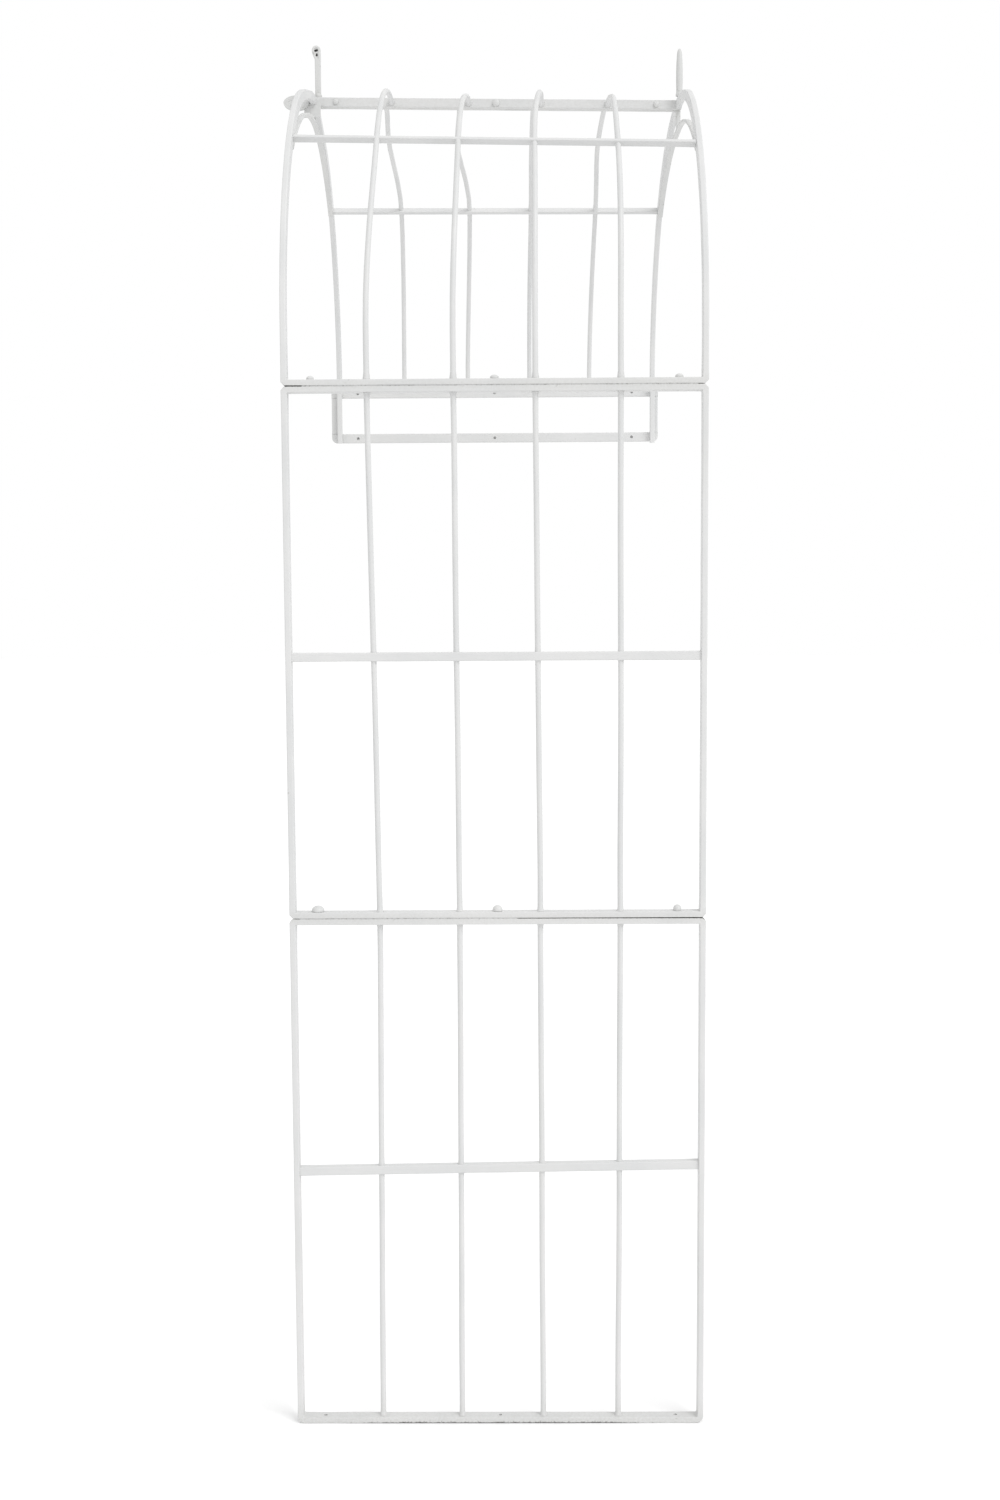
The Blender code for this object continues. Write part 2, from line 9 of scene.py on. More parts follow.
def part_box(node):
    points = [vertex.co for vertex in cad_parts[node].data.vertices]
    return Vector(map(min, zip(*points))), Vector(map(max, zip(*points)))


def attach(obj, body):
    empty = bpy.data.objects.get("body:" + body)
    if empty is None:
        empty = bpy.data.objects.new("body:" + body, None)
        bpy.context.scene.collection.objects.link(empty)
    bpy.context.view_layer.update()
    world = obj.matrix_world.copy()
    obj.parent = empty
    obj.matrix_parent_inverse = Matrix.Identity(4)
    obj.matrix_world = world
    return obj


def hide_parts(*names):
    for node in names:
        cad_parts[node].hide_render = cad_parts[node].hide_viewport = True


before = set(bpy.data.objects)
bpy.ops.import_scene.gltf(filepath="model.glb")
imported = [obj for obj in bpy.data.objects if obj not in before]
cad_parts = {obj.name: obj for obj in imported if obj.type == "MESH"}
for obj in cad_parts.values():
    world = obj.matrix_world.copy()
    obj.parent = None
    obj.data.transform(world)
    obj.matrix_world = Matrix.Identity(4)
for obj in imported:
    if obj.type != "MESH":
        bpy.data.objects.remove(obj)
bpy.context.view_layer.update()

bl_info = {
    "name": "Rose Arch",
    "version": (1, 0, 0),
    "blender": (4, 5, 0),
    "location": "View3D > Sidebar > Rose Arch",
    "description": "Dresses the packed frame of a painted iron rose arch",
    "category": "Object",
}


def end_face(node, axis, far):
    """Middle of a node's end, at its lowest or highest place along an axis."""
    face_depth = 0.0008
    points = [vertex.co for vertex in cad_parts[node].data.vertices]
    edge = (max if far else min)(point[axis] for point in points)
    face = [point for point in points if abs(point[axis] - edge) < face_depth]
    return Vector((
        (min(point[index] for point in face) + max(point[index] for point in face)) / 2
        for index in range(3)))


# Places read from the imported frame, in metres
foot_low, foot_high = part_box("lower_leg_foot_strip")
rail_low, rail_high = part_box("lower_leg_left_rail")
ridge_low, ridge_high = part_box("front_arch_ridge_strip")
left_end = end_face("front_arch_left_rail", 1, True)
right_end = end_face("front_arch_right_rail", 1, True)
upper_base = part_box("upper_leg_base_strip")[0].z
lower_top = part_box("lower_leg_top_strip")[1].z
upper_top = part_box("upper_leg_top_strip")[1].z
arch_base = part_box("front_arch_base_strip")[0].z
back_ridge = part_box("back_arch_ridge_strip")[0].y
panel_x = (foot_low.x + foot_high.x) / 2
leg_y = (foot_low.y + foot_high.y) / 2
ridge_y = (ridge_high.y + back_ridge) / 2
ridge_z = (ridge_low.z + ridge_high.z) / 2
ridge_slope = (left_end.z - right_end.z) / (right_end.x - left_end.x)
mid_leg_z = (lower_top + upper_base) / 2
springing_z = (upper_top + arch_base) / 2
half_gap = (upper_base - lower_top) / 2
panel_width = foot_high.x - foot_low.x
rail_thickness = rail_high.x - rail_low.x
rail_depth = rail_high.y - rail_low.y
rail_x = panel_width / 2 - rail_thickness / 2
rod_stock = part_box("lower_leg_rod_4")
wall_frame_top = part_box("wall_upper_bar")[1].z

# Directions
along_x = Vector((1, 0, 0))
along_y = Vector((0, 1, 0))
along_z = Vector((0, 0, 1))

# Sizes that the frame's boxes don't give on their own
arch_end_run = 0.004
back_foot_angle = math.radians(1.95)
bolt_x = panel_width / 2 - 0.044
ridge_depth = 0.016
seam = 0.0003
crown_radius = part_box("front_arch_left_rail")[1].y - arch_end_run - leg_y
crown_y = leg_y + crown_radius
crown_z = ridge_z - crown_radius

# Share of the edge radius on thin bars
thin_edge = 0.8

# Strength of the shadow in drilled holes
hole_tone = 0.38

# Paint that has run into a joint: strength of its shadow, its recess and its edge
bead_tone = 0.30
bead_recess = 0.0009
bead_edge = 0.0001

# Fineness of the meshes
station_step = 0.012
corner_steps = 4
bend_steps = 8
arch_steps = 64
rod_sides = 16
turned_sides = 28
sharp_angle = math.radians(42)

piece_map = "along_bar"


class Skin:
    """Points, faces and lengthwise coordinates of one painted piece."""

    def __init__(self):
        self.points = []
        self.faces = []
        self.corners = []

    def add_rings(self, rings, lengths):
        """Join closed rings of points into a skin with flat ends."""
        first = len(self.points)
        count = len(rings[0])
        for ring in rings:
            self.points.extend(ring)
        around = [0.0]
        for index in range(count):
            step = rings[len(rings) // 2][(index + 1) % count] - rings[len(rings) // 2][index]
            around.append(around[-1] + step.length)
        for row in range(len(rings) - 1):
            here = first + row * count
            for index in range(count):
                after = (index + 1) % count
                self.faces.append((here + index, here + after,
                                   here + count + after, here + count + index))
                self.corners.extend((
                    (lengths[row], around[index]), (lengths[row], around[index + 1]),
                    (lengths[row + 1], around[index + 1]), (lengths[row + 1], around[index])))
        last = first + (len(rings) - 1) * count
        self.faces.append(tuple(reversed(range(first, first + count))))
        self.corners.extend((lengths[0], around[index]) for index in reversed(range(count)))
        self.faces.append(tuple(range(last, last + count)))
        self.corners.extend((lengths[-1], around[index]) for index in range(count))

    def to_mesh(self, name):
        """A mesh of the skin, with its lengthwise coordinates."""
        mesh = bpy.data.meshes.new(name)
        mesh.from_pydata(self.points, [], self.faces)
        layer = mesh.uv_layers.new(name=piece_map)
        for loop, corner in zip(layer.data, self.corners):
            loop.uv = corner
        return mesh

    def make(self, node, slot, holes=(), hollows=()):
        """Finish the piece that stands for a node; holes are drilled, hollows are painted dark
        inside as shade.
        """
        name = "painted_" + node
        piece = bpy.data.objects.new(name, self.to_mesh(name))
        bpy.context.scene.collection.objects.link(piece)
        drill(piece, holes)
        soil_and_shade(piece.data, hollows)
        piece.data.shade_smooth()
        piece.data.set_sharp_from_angle(angle=sharp_angle)
        piece.data.materials.clear()
        piece.data.materials.append(finish_for(slot))
        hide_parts(node)
        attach(piece, "root")
        return piece


def drill(piece, holes):
    """Cut round holes, each given as the disc that is taken out."""
    for hole in holes:
        cutter = Skin()
        add_disc(cutter, hole)
        mesh = bpy.data.meshes.new("drill")
        mesh.from_pydata(cutter.points, [], cutter.faces)
        tool = bpy.data.objects.new("drill", mesh)
        bpy.context.scene.collection.objects.link(tool)
        cut = piece.modifiers.new("drill", "BOOLEAN")
        cut.operation = "DIFFERENCE"
        cut.solver = "EXACT"
        cut.object = tool
        bpy.context.view_layer.update()
        graph = bpy.context.evaluated_depsgraph_get()
        drilled = bpy.data.meshes.new_from_object(piece.evaluated_get(graph))
        piece.modifiers.clear()
        piece.data = drilled
        bpy.data.objects.remove(tool, do_unlink=True)


def add_disc(skin, disc):
    """Add a round disc, given by a middle, a direction, a radius and half its depth."""
    middle, axis, radius, half_depth = disc
    turn = Matrix.Translation(middle) @ axis.to_track_quat("Z", "Y").to_matrix().to_4x4()
    rings = [[turn @ Vector((x, y, height)) for x, y in round_stock(radius, turned_sides)]
             for height in (-half_depth, half_depth)]
    skin.add_rings(rings, (0.0, 2 * half_depth))


def fall(distance, reach):
    """1 at no distance, 0 beyond a reach."""
    return max(0.0, 1.0 - distance / reach) if reach > 0 else 0.0


def ridge_level(x):
    """Height of the ridge's middle at a place across the panel."""
    return ridge_z - (x - panel_x) * ridge_slope


def parted_gap(offset, parted, widening, least):
    """Shadow beside a level joint, which reaches further where its sections part."""
    least_reach = 0.0002
    near = fall(abs(offset) - half_gap, least_reach + widening * parted)
    return near * (least + (1 - least) * parted)


def joint_shadow(point):
    """Shadow at a point in a bolted joint or under the foot strip."""
    end_part = 0.4
    ridge_tone, ridge_reach = 0.5, 0.0003
    foot_tone, foot_reach = 0.85, 0.0034
    lifted_part, lifted_rise = 0.9, 2.5
    across = (point.x - panel_x) / (panel_width / 2)
    share = 0.0
    if abs(point.y - leg_y) < rail_depth:
        mid_parted = max(0.0, across)
        springing_parted = max(0.0, -across - (1 - end_part)) / end_part
        share = max(parted_gap(point.z - mid_leg_z, mid_parted, 0.0007, 0.30),
                    parted_gap(point.z - springing_z, springing_parted, 0.0009, 0.35))
    if abs(point.z - ridge_level(point.x)) < rail_depth and abs(across) < 1.01:
        share = max(share, ridge_tone * fall(abs(point.y - ridge_y) - half_gap, ridge_reach))
    lifted = min(1.0, lifted_rise * fall(abs(across), lifted_part))
    return max(share, foot_tone * lifted * fall(point.z, foot_reach))


def soil_and_crevice_shade(point):
    """Dirt near the ground, and painted shade at the leg joints, along the ridge and in the foot's
    left corner.
    """
    ground_tone, ground_reach = 0.45, 0.06
    joint_tone, joint_reach = 0.35, 0.014
    ridge_tone, ridge_reach = 0.40, 0.02
    corner_tone, corner_reach = 0.60, 0.020
    corner = Vector((panel_x - panel_width / 2 + 0.014, leg_y, 0.012))
    share = ground_tone * fall(point.z, ground_reach) ** 2
    if abs(point.y - leg_y) < rail_depth:
        for level in (mid_leg_z, springing_z):
            share = max(share, joint_tone * fall(abs(point.z - level), joint_reach))
    if abs(point.z - ridge_level(point.x)) < rail_depth:
        share = max(share, ridge_tone * fall(abs(point.y - ridge_y), ridge_reach))
    return max(share, corner_tone * fall((point - corner).length, corner_reach))


def soil_and_shade(mesh, hollows):
    """Store the painted joint shadow, and the soil with its painted shade, at each point of a
    piece.
    """
    slack = 1.02
    shadows = mesh.attributes.new("joint_shadow", "FLOAT", "POINT")
    soil_and_shade_layer = mesh.attributes.new("soil_and_crevice_shade", "FLOAT", "POINT")
    dark = []
    soil_and_shade_values = []
    for vertex in mesh.vertices:
        point = vertex.co
        shadow = joint_shadow(point)
        for middle, axis, radius, depth in hollows:
            along = (point - middle).dot(axis)
            off = (point - middle - axis * along).length
            if abs(along) < depth * slack and off < radius * slack:
                shadow = 1.0
        dark.append(shadow)
        soil_and_shade_values.append(soil_and_crevice_shade(point))
    shadows.data.foreach_set("value", dark)
    soil_and_shade_layer.data.foreach_set("value", soil_and_shade_values)


def rounded_bar(half_side, half_other, radius):
    """Outline of a flat bar's section, with worn round edges."""
    outline = []
    ease = 0.9 * min(radius, half_side - radius, half_other - radius)
    for quarter, (way_a, way_b) in enumerate(((1, 1), (-1, 1), (-1, -1), (1, -1))):
        corner_a = way_a * (half_side - radius)
        corner_b = way_b * (half_other - radius)
        start = quarter * math.pi / 2
        bend = []
        for step in range(corner_steps + 1):
            angle = start + step * math.pi / 2 / corner_steps
            bend.append((corner_a + radius * math.cos(angle), corner_b + radius * math.sin(angle)))
        first = (bend[0][0] + ease * math.sin(start), bend[0][1] - ease * math.cos(start))
        last_angle = start + math.pi / 2
        last = (bend[-1][0] - ease * math.sin(last_angle),
                bend[-1][1] + ease * math.cos(last_angle))
        outline.extend([first, *bend, last])
    return outline


def round_stock(radius, sides=rod_sides):
    """Outline of a round rod's section."""
    return [(radius * math.cos(2 * math.pi * side / sides),
             radius * math.sin(2 * math.pi * side / sides)) for side in range(sides)]


def distances(line):
    """Length along a line at each of its points."""
    lengths = [0.0]
    for here, after in zip(line, line[1:]):
        lengths.append(lengths[-1] + (after - here).length)
    return lengths


def finely(line, step=station_step):
    """The same line with more points on its long straight runs."""
    fine = [line[0]]
    for here, after in zip(line, line[1:]):
        parts = max(1, math.ceil((after - here).length / step))
        for part in range(1, parts + 1):
            fine.append(here.lerp(after, part / parts))
    return fine


def sweep(skin, line, side, outline, change=None):
    """Draw a section along a line; change(length, whole) gives two scales and a shift."""
    least_bend = 0.2
    lengths = distances(line)
    rings = []
    for index, centre in enumerate(line):
        before = line[max(0, index - 1)]
        after = line[min(len(line) - 1, index + 1)]
        ahead = (after - before).normalized()
        bend = 1.0
        if 0 < index < len(line) - 1:
            into = (centre - before).normalized()
            ahead = (into + (after - centre).normalized()).normalized()
            bend = max(least_bend, into.dot(ahead))
        across = (side - ahead * side.dot(ahead)).normalized()
        other = ahead.cross(across)
        wide, thick, shift = 1.0, 1.0, Vector()
        if change:
            wide, thick, shift = change(lengths[index], lengths[-1])
        rings.append([centre + shift + across * (a * wide) + other * (b * thick / bend)
                      for a, b in outline])
    skin.add_rings(rings, lengths)


def make_bar(node, slot, line, side, outline, change, holes=()):
    """Make the piece for a node from one section drawn along one line."""
    skin = Skin()
    sweep(skin, line, side, outline, change)
    return skin.make(node, slot, holes)


def ripple(place, seed):
    """Smooth hand-made unevenness between -1 and 1."""
    return noise.noise(Vector((place, seed * 7.31, seed * 1.7)))


def hand_forged(seed, sizes, ends=0.03, shift=0.0):
    """A bar's slight changes of width along its length, none at its ends."""
    width_waves = 21
    thickness_waves = 17
    drift_waves = 5

    def change(length, whole):
        steady = min(1.0, length / ends, (whole - length) / ends)
        loss = sizes.unevenness * steady
        wide = 1 - loss * (0.5 + 0.5 * ripple(length * width_waves, seed))
        thick = 1 - loss * (0.5 + 0.5 * ripple(length * thickness_waves, seed + 3))
        drift = length * drift_waves
        moved = Vector((ripple(drift, seed + 5), ripple(drift, seed + 9), 0)) * shift * steady
        return wide, thick, moved
    return change


def strip_line(start, up, across, radius, reach):
    """Mid-line of an end strip, with both its ends bent towards its rails."""
    bend = radius - rail_thickness / 2
    steps = bend_steps if bend > rail_thickness / 2 else 1
    corner_x = panel_width / 2 - radius
    flat = [(-rail_x, reach)]
    for step in range(steps + 1):
        angle = math.pi + step * math.pi / 2 / steps
        flat.append((-corner_x + bend * math.cos(angle), radius + bend * math.sin(angle)))
    for step in range(steps + 1):
        angle = 1.5 * math.pi + step * math.pi / 2 / steps
        flat.append((corner_x + bend * math.cos(angle), radius + bend * math.sin(angle)))
    flat.append((rail_x, reach))
    return finely([start + across * x + up * height for x, height in flat])


def mirror_y(point):
    """The same place on the wall side of the ridge."""
    return Vector((point.x, 2 * ridge_y - point.y, point.z))


def crown_point(angle, offset=0.0):
    """Place on the front quarter circle, at the panel's middle."""
    radius = crown_radius + offset
    return Vector((panel_x, crown_y - radius * math.cos(angle), crown_z + radius * math.sin(angle)))


def crown_angle(point, back):
    """Angle on its quarter circle at which a point of the crown lies."""
    depth = mirror_y(point).y if back else point.y
    return math.atan2(point.z - crown_z, crown_y - depth)


def ring_places(node, back):
    """Angle and X of each ring of points along a curved piece of the frame."""
    apart = math.radians(0.6)
    seen = sorted((crown_angle(vertex.co, back), vertex.co.x)
                  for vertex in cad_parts[node].data.vertices)
    places = []
    ring = seen[:1]
    for angle, x in seen[1:] + [(math.inf, 0.0)]:
        if angle - ring[-1][0] > apart:
            xs = [place for _, place in ring]
            places.append((ring[len(ring) // 2][0], (min(xs) + max(xs)) / 2))
            ring = []
        ring.append((angle, x))
    return places


def place_at(places, angle):
    """X of a curved piece at an angle, between its rings."""
    for (low, low_x), (high, high_x) in zip(places, places[1:]):
        if angle <= high:
            return low_x + (high_x - low_x) * max(0.0, angle - low) / (high - low)
    return places[-1][1]


def flatter(node, angle):
    """How far a hand-bent piece stays below the true circle just before the ridge."""
    most = {"left_rail": 0.0066, "right_rail": 0.0018, "rod_2": 0.0075, "rod_4": 0.0060}
    first = math.radians(40)
    skew = 1.9
    share = max(0.0, (angle - first) / (math.pi / 2 - first))
    return most.get(node.split("_arch_")[1], 0.0) * math.sin(math.pi * share ** skew) ** 2


def crown_line(node, back):
    """A curved piece's line from its foot up to the ridge, straying sideways as in the frame."""
    low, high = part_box(node)
    places = ring_places(node, back)
    start = back_foot_angle if back else 0.0
    line = []
    for step in range(arch_steps + 1):
        angle = start + (math.pi / 2 - start) * step / arch_steps
        point = mirror_y(crown_point(angle)) if back else crown_point(angle)
        point.x = place_at(places, angle)
        point.z -= (point.x - panel_x) * ridge_slope * math.sin(angle) + flatter(node, angle)
        line.append(point)
    foot_z = wall_frame_top if back else low.z - seam
    end_y = low.y - seam if back else high.y + seam
    foot = Vector((line[0].x, line[0].y, foot_z))
    end = Vector((line[-1].x, end_y, line[-1].z))
    return finely([foot, line[0]])[:-1] + line + [end]


def add_node(tree, kind, label=""):
    """One shader node, labelled for the editor."""
    made = tree.nodes.new(kind)
    made.label = label
    return made


def arrange(tree):
    """Set out a tree's nodes in rows, in the order in which they were made."""
    row_length = 8
    for index, node in enumerate(tree.nodes):
        node.location = (220 * (index % row_length), -300 * (index // row_length))


def feed(tree, socket, value):
    """Give a socket another socket's value, or a plain one."""
    if isinstance(value, bpy.types.NodeSocket):
        tree.links.new(value, socket)
    else:
        socket.default_value = value


def mixed(tree, share, first, second, label):
    """A mix of two colours; the share is a socket, and so may the first colour be."""
    made = add_node(tree, "ShaderNodeMix", label)
    made.data_type = "RGBA"
    for socket, value in zip((made.inputs[0], made.inputs[6], made.inputs[7]),
                             (share, first, (*second, 1.0))):
        feed(tree, socket, value)
    return made.outputs[2]


def spread(tree, value, low, high, to_low=0.0, to_high=1.0):
    """Map a value's range onto another, clamped."""
    made = add_node(tree, "ShaderNodeMapRange")
    for name, amount in (("Value", value), ("From Min", low), ("From Max", high),
                         ("To Min", to_low), ("To Max", to_high)):
        feed(tree, made.inputs[name], amount)
    return made.outputs["Result"]


def grain(tree, place, scale, detail, roughness):
    """A noise texture's value."""
    made = add_node(tree, "ShaderNodeTexNoise")
    for name, amount in (("Vector", place), ("Scale", scale), ("Detail", detail),
                         ("Roughness", roughness)):
        feed(tree, made.inputs[name], amount)
    return made.outputs["Fac"]


def worked(tree, operation, first, second):
    """Two values worked together."""
    made = add_node(tree, "ShaderNodeMath")
    made.operation = operation
    for socket, value in zip(made.inputs, (first, second)):
        feed(tree, socket, value)
    return made.outputs[0]


def stored(tree, name):
    """A value that is stored at a piece's points."""
    made = add_node(tree, "ShaderNodeAttribute", name)
    made.attribute_name = name
    return made.outputs["Fac"]


def bump(tree, height, strength, depth, label):
    """Bumps of a strength and a depth, from a height value."""
    made = add_node(tree, "ShaderNodeBump", label)
    for name, amount in (("Height", height), ("Strength", strength), ("Distance", depth)):
        feed(tree, made.inputs[name], amount)
    return made


def brushed_paint(name, tint, roughness, lumps, sound):
    """White paint laid on iron by hand, with brush marks, soil and stains where it isn't sound, and
    painted shade.
    """
    look = bpy.context.scene.rose_arch_paint
    material = bpy.data.materials.new(name)
    material.use_nodes = True
    tree = material.node_tree
    shader = tree.nodes["Principled BSDF"]
    place = add_node(tree, "ShaderNodeTexCoord").outputs["Object"]
    lengthwise = add_node(tree, "ShaderNodeUVMap")
    lengthwise.uv_map = piece_map
    stretch = add_node(tree, "ShaderNodeMapping")
    brush_scale = (22.0, 620.0, 1.0)
    stretch.inputs["Scale"].default_value = brush_scale
    tree.links.new(lengthwise.outputs["UV"], stretch.inputs["Vector"])
    brush = grain(tree, stretch.outputs["Vector"], scale=1.0, detail=4.0, roughness=0.6)
    patches = grain(tree, place, scale=9.0, detail=4.0, roughness=0.55)
    aged = grain(tree, place, scale=3.1, detail=2.0, roughness=0.5)
    fine = grain(tree, place, scale=260.0, detail=3.0, roughness=0.6)
    spots = grain(tree, place, scale=95.0, detail=2.0, roughness=0.5)
    spot_zone = grain(tree, place, scale=5.3, detail=1.0, roughness=0.5)
    runs = grain(tree, place, scale=120.0, detail=3.0, roughness=0.55)
    # Share of soil near the ground and of painted shade at the joints and in the foot's corner
    soil_and_shade_share = worked(tree, "MULTIPLY", stored(tree, "soil_and_crevice_shade"),
                  spread(tree, fine, 0.35, 0.65, 0.25, 1.0))
    more_spots = worked(tree, "ADD", spread(tree, spot_zone, 0.5, 0.8, 0.0, 0.05),
                        worked(tree, "MULTIPLY", soil_and_shade_share, 0.08))
    worn = worked(tree, "ADD", spots, more_spots)
    # Painted shade of the joints, holes and curl, with a ragged edge from fine noise
    ragged_joint_shade = worked(tree, "ADD", stored(tree, "joint_shadow"),
                    spread(tree, fine, 0.3, 0.7, -0.16, 0.16))
    second_coat = [channel * shade for channel, shade in zip(look.cool_paint, tint)]
    coats = (
        ("second coat", spread(tree, patches, 0.38, 0.62), second_coat),
        ("aged paint", spread(tree, aged, 0.52, 0.72, 0.0, 0.55), look.aged_paint),
        ("brush marks", spread(tree, brush, 0.35, 0.7, 0.0, 0.16), look.hollow_paint),
        # Lays soil near the ground and painted shade at the joints and in the foot's corner
        ("soil_and_shade", soil_and_shade_share, look.soil_and_shade),
        ("stains", spread(tree, worn, sound - 0.02, sound + 0.07, 0.0, 0.65), look.stain),
        # Painted shade: near-black in the joints, under the foot strip, in the hole discs and in
        # the curl's eye
        ("open joint", spread(tree, ragged_joint_shade, 0.30, 0.62), look.joint),
    )
    colour = (*(channel * shade for channel, shade in zip(look.paint, tint)), 1.0)
    for label, share, coat in coats:
        colour = mixed(tree, share, colour, coat, label)
    tree.links.new(colour, shader.inputs["Base Color"])
    tree.links.new(spread(tree, brush, 0.3, 0.7, roughness - 0.07, roughness + 0.09),
                   shader.inputs["Roughness"])
    gloss = 0.42
    shader.inputs["Specular IOR Level"].default_value = gloss
    strokes = bump(tree, brush, strength=0.55, depth=0.00022, label="brush strokes")
    lumpy = bump(tree, runs, strength=lumps, depth=0.0011, label="lumps and runs")
    tree.links.new(strokes.outputs["Normal"], lumpy.inputs["Normal"])
    tree.links.new(lumpy.outputs["Normal"], shader.inputs["Normal"])
    arrange(tree)
    return material


finishes = {}

# Name, tint, roughness, lumps and how sound the paint is, for each slot
finish_facts = {
    "painted_bar": ("bar_paint", (1.0, 1.0, 1.0), 0.50, 0.40, 0.77),
    "painted_rod": ("rod_paint", (0.99, 0.99, 0.99), 0.48, 0.32, 0.79),
    "painted_bolt": ("bolt_paint", (0.97, 0.97, 0.965), 0.46, 0.55, 0.74),
    "painted_ornament": ("ornament_paint", (0.94, 0.94, 0.93), 0.52, 0.60, 0.70),
}


def finish_for(slot):
    """The paint of a material slot, made once."""
    if slot not in finishes:
        finishes[slot] = brushed_paint(*finish_facts[slot])
    return finishes[slot]


class RoseArchSizes(bpy.types.PropertyGroup):
    """Iron stock and hand-made details."""

    edge_radius: FloatProperty(
        name="Edge Radius", description="Rounding of the flat bars' painted edges",
        default=0.0017, unit="LENGTH", precision=4)
    strip_edge: FloatProperty(
        name="Strip Edge", description="Rounding of the end strips' edges, tight at the joints",
        default=0.001, unit="LENGTH", precision=4)
    corner_radius: FloatProperty(
        name="Corner Radius", description="Outer radius of the foot strip's bent corners",
        default=0.012, unit="LENGTH", precision=4)
    joint_corner: FloatProperty(
        name="Joint Corner", description="Outer radius of the bolted strips' tight corners",
        default=0.0076, unit="LENGTH", precision=4)
    corner_reach: FloatProperty(
        name="Corner Reach", description="How far the bent ends run up to the rails",
        default=0.0153, unit="LENGTH", precision=4)
    rod_diameter: FloatProperty(
        name="Rod Diameter", description="Diameter of the upright rods",
        default=round(rod_stock[1].y - rod_stock[0].y, 4), unit="LENGTH", precision=4)
    foot_hole: FloatProperty(
        name="Foot Hole", description="Diameter of the peg holes in the foot strip",
        default=0.006, unit="LENGTH", precision=4)
    wall_hole: FloatProperty(
        name="Wall Hole", description="Diameter of the screw holes in the wall frame",
        default=0.0055, unit="LENGTH", precision=4)
    joint_hole: FloatProperty(
        name="Joint Hole", description="Diameter of the holes in the bolted strips",
        default=0.009, unit="LENGTH", precision=4)
    unevenness: FloatProperty(
        name="Unevenness", description="Most that a hand-forged bar loses of its width",
        default=0.07, min=0.0, max=0.2, subtype="FACTOR")
    rod_bow: FloatProperty(
        name="Rod Bow", description="How far a rod strays from its straight line",
        default=0.0008, unit="LENGTH", precision=4)
    weld_swell: FloatProperty(
        name="Weld Swell", description="Extra thickness of a rod at its welded ends",
        default=0.30, min=0.0, max=1.0, subtype="FACTOR")
    weld_length: FloatProperty(
        name="Weld Length", description="Length of a weld's swelling along a rod",
        default=0.006, unit="LENGTH", precision=4)
    bolt_diameter: FloatProperty(
        name="Bolt", description="Diameter of the bolts' shanks",
        default=0.008, unit="LENGTH", precision=4)
    head_rim: FloatProperty(
        name="Head Rim", description="Height of the upright rim of a bolt's head",
        default=0.002, unit="LENGTH", precision=4)
    head_lumps: FloatProperty(
        name="Head Lumps", description="How far thick paint makes a bolt's head uneven",
        default=0.07, min=0.0, max=0.3, subtype="FACTOR")
    brace_thickness: FloatProperty(
        name="Brace Thickness", description="Thickness of the thin arcs under the crown",
        default=0.005, unit="LENGTH", precision=4)
    brace_drop: FloatProperty(
        name="Brace Drop", description="How far a brace's top lies below the ridge's middle",
        default=0.036, unit="LENGTH", precision=4)


class RoseArchPaint(bpy.types.PropertyGroup):
    """Colours of the painted iron."""

    paint: FloatVectorProperty(
        name="Paint", description="Main coat of white paint",
        default=(0.735, 0.735, 0.732), subtype="COLOR", min=0, max=1)
    cool_paint: FloatVectorProperty(
        name="Second Coat", description="Cooler patches where the paint was laid on twice",
        default=(0.69, 0.695, 0.695), subtype="COLOR", min=0, max=1)
    aged_paint: FloatVectorProperty(
        name="Aged Paint", description="Patches that have yellowed",
        default=(0.70, 0.70, 0.688), subtype="COLOR", min=0, max=1)
    hollow_paint: FloatVectorProperty(
        name="Brush Hollows", description="Fine hollows left by the brush",
        default=(0.58, 0.58, 0.575), subtype="COLOR", min=0, max=1)
    # Soil near the ground, and painted shade at the joints and in the foot's left corner
    soil_and_shade: FloatVectorProperty(
        name="Soil", description="Dirt near the ground and in the joints",
        default=(0.50, 0.495, 0.465), subtype="COLOR", min=0, max=1)
    stain: FloatVectorProperty(
        name="Stain", description="Dull spots where the paint has worn thin",
        default=(0.40, 0.398, 0.385), subtype="COLOR", min=0, max=1)
    # Painted shade: near-black laid in the joints, under the foot strip, in the hole discs and in
    # the curl's eye
    joint: FloatVectorProperty(
        name="Joint", description="Depth of the open joints",
        default=(0.035, 0.033, 0.03), subtype="COLOR", min=0, max=1)


class RoseArchStage(bpy.types.PropertyGroup):
    """Floor, light and camera."""

    floor: FloatVectorProperty(
        name="Floor", description="Colour of the plain floor",
        default=(0.93, 0.93, 0.93), subtype="COLOR", min=0, max=1)
    soft_light: FloatProperty(
        name="Soft Light", description="Strength of the even light from all round", default=0.80)
    lamp_light: FloatProperty(
        name="Lamp", description="Strength of the large lamp at the right", default=1.15)
    lamp_width: FloatProperty(
        name="Lamp Width", description="Angle that the large lamp fills",
        default=math.radians(34), subtype="ANGLE")
    lamp_height: FloatProperty(
        name="Lamp Height", description="Angle of the lamp above the ground",
        default=math.radians(44), subtype="ANGLE")
    lamp_turn: FloatProperty(
        name="Lamp Turn", description="Angle of the lamp to the right of the camera's side",
        default=math.radians(42), subtype="ANGLE")
    eye: FloatVectorProperty(
        name="Camera Place", description="Where the camera stands",
        default=(panel_x + 0.0312, leg_y - 2.7076, 1.3353),
        subtype="TRANSLATION", unit="LENGTH")
    pitch: FloatProperty(
        name="Pitch", description="How far the camera looks down", default=0.093, subtype="ANGLE")
    yaw: FloatProperty(
        name="Yaw", description="How far the camera turns to the left",
        default=0.0096, subtype="ANGLE")
    roll: FloatProperty(
        name="Roll", description="How far the camera leans", default=0.0055, subtype="ANGLE")
    lens: FloatProperty(
        name="Lens", description="Focal length for a frame 36 mm high", default=42.07,
        subtype="DISTANCE_CAMERA")


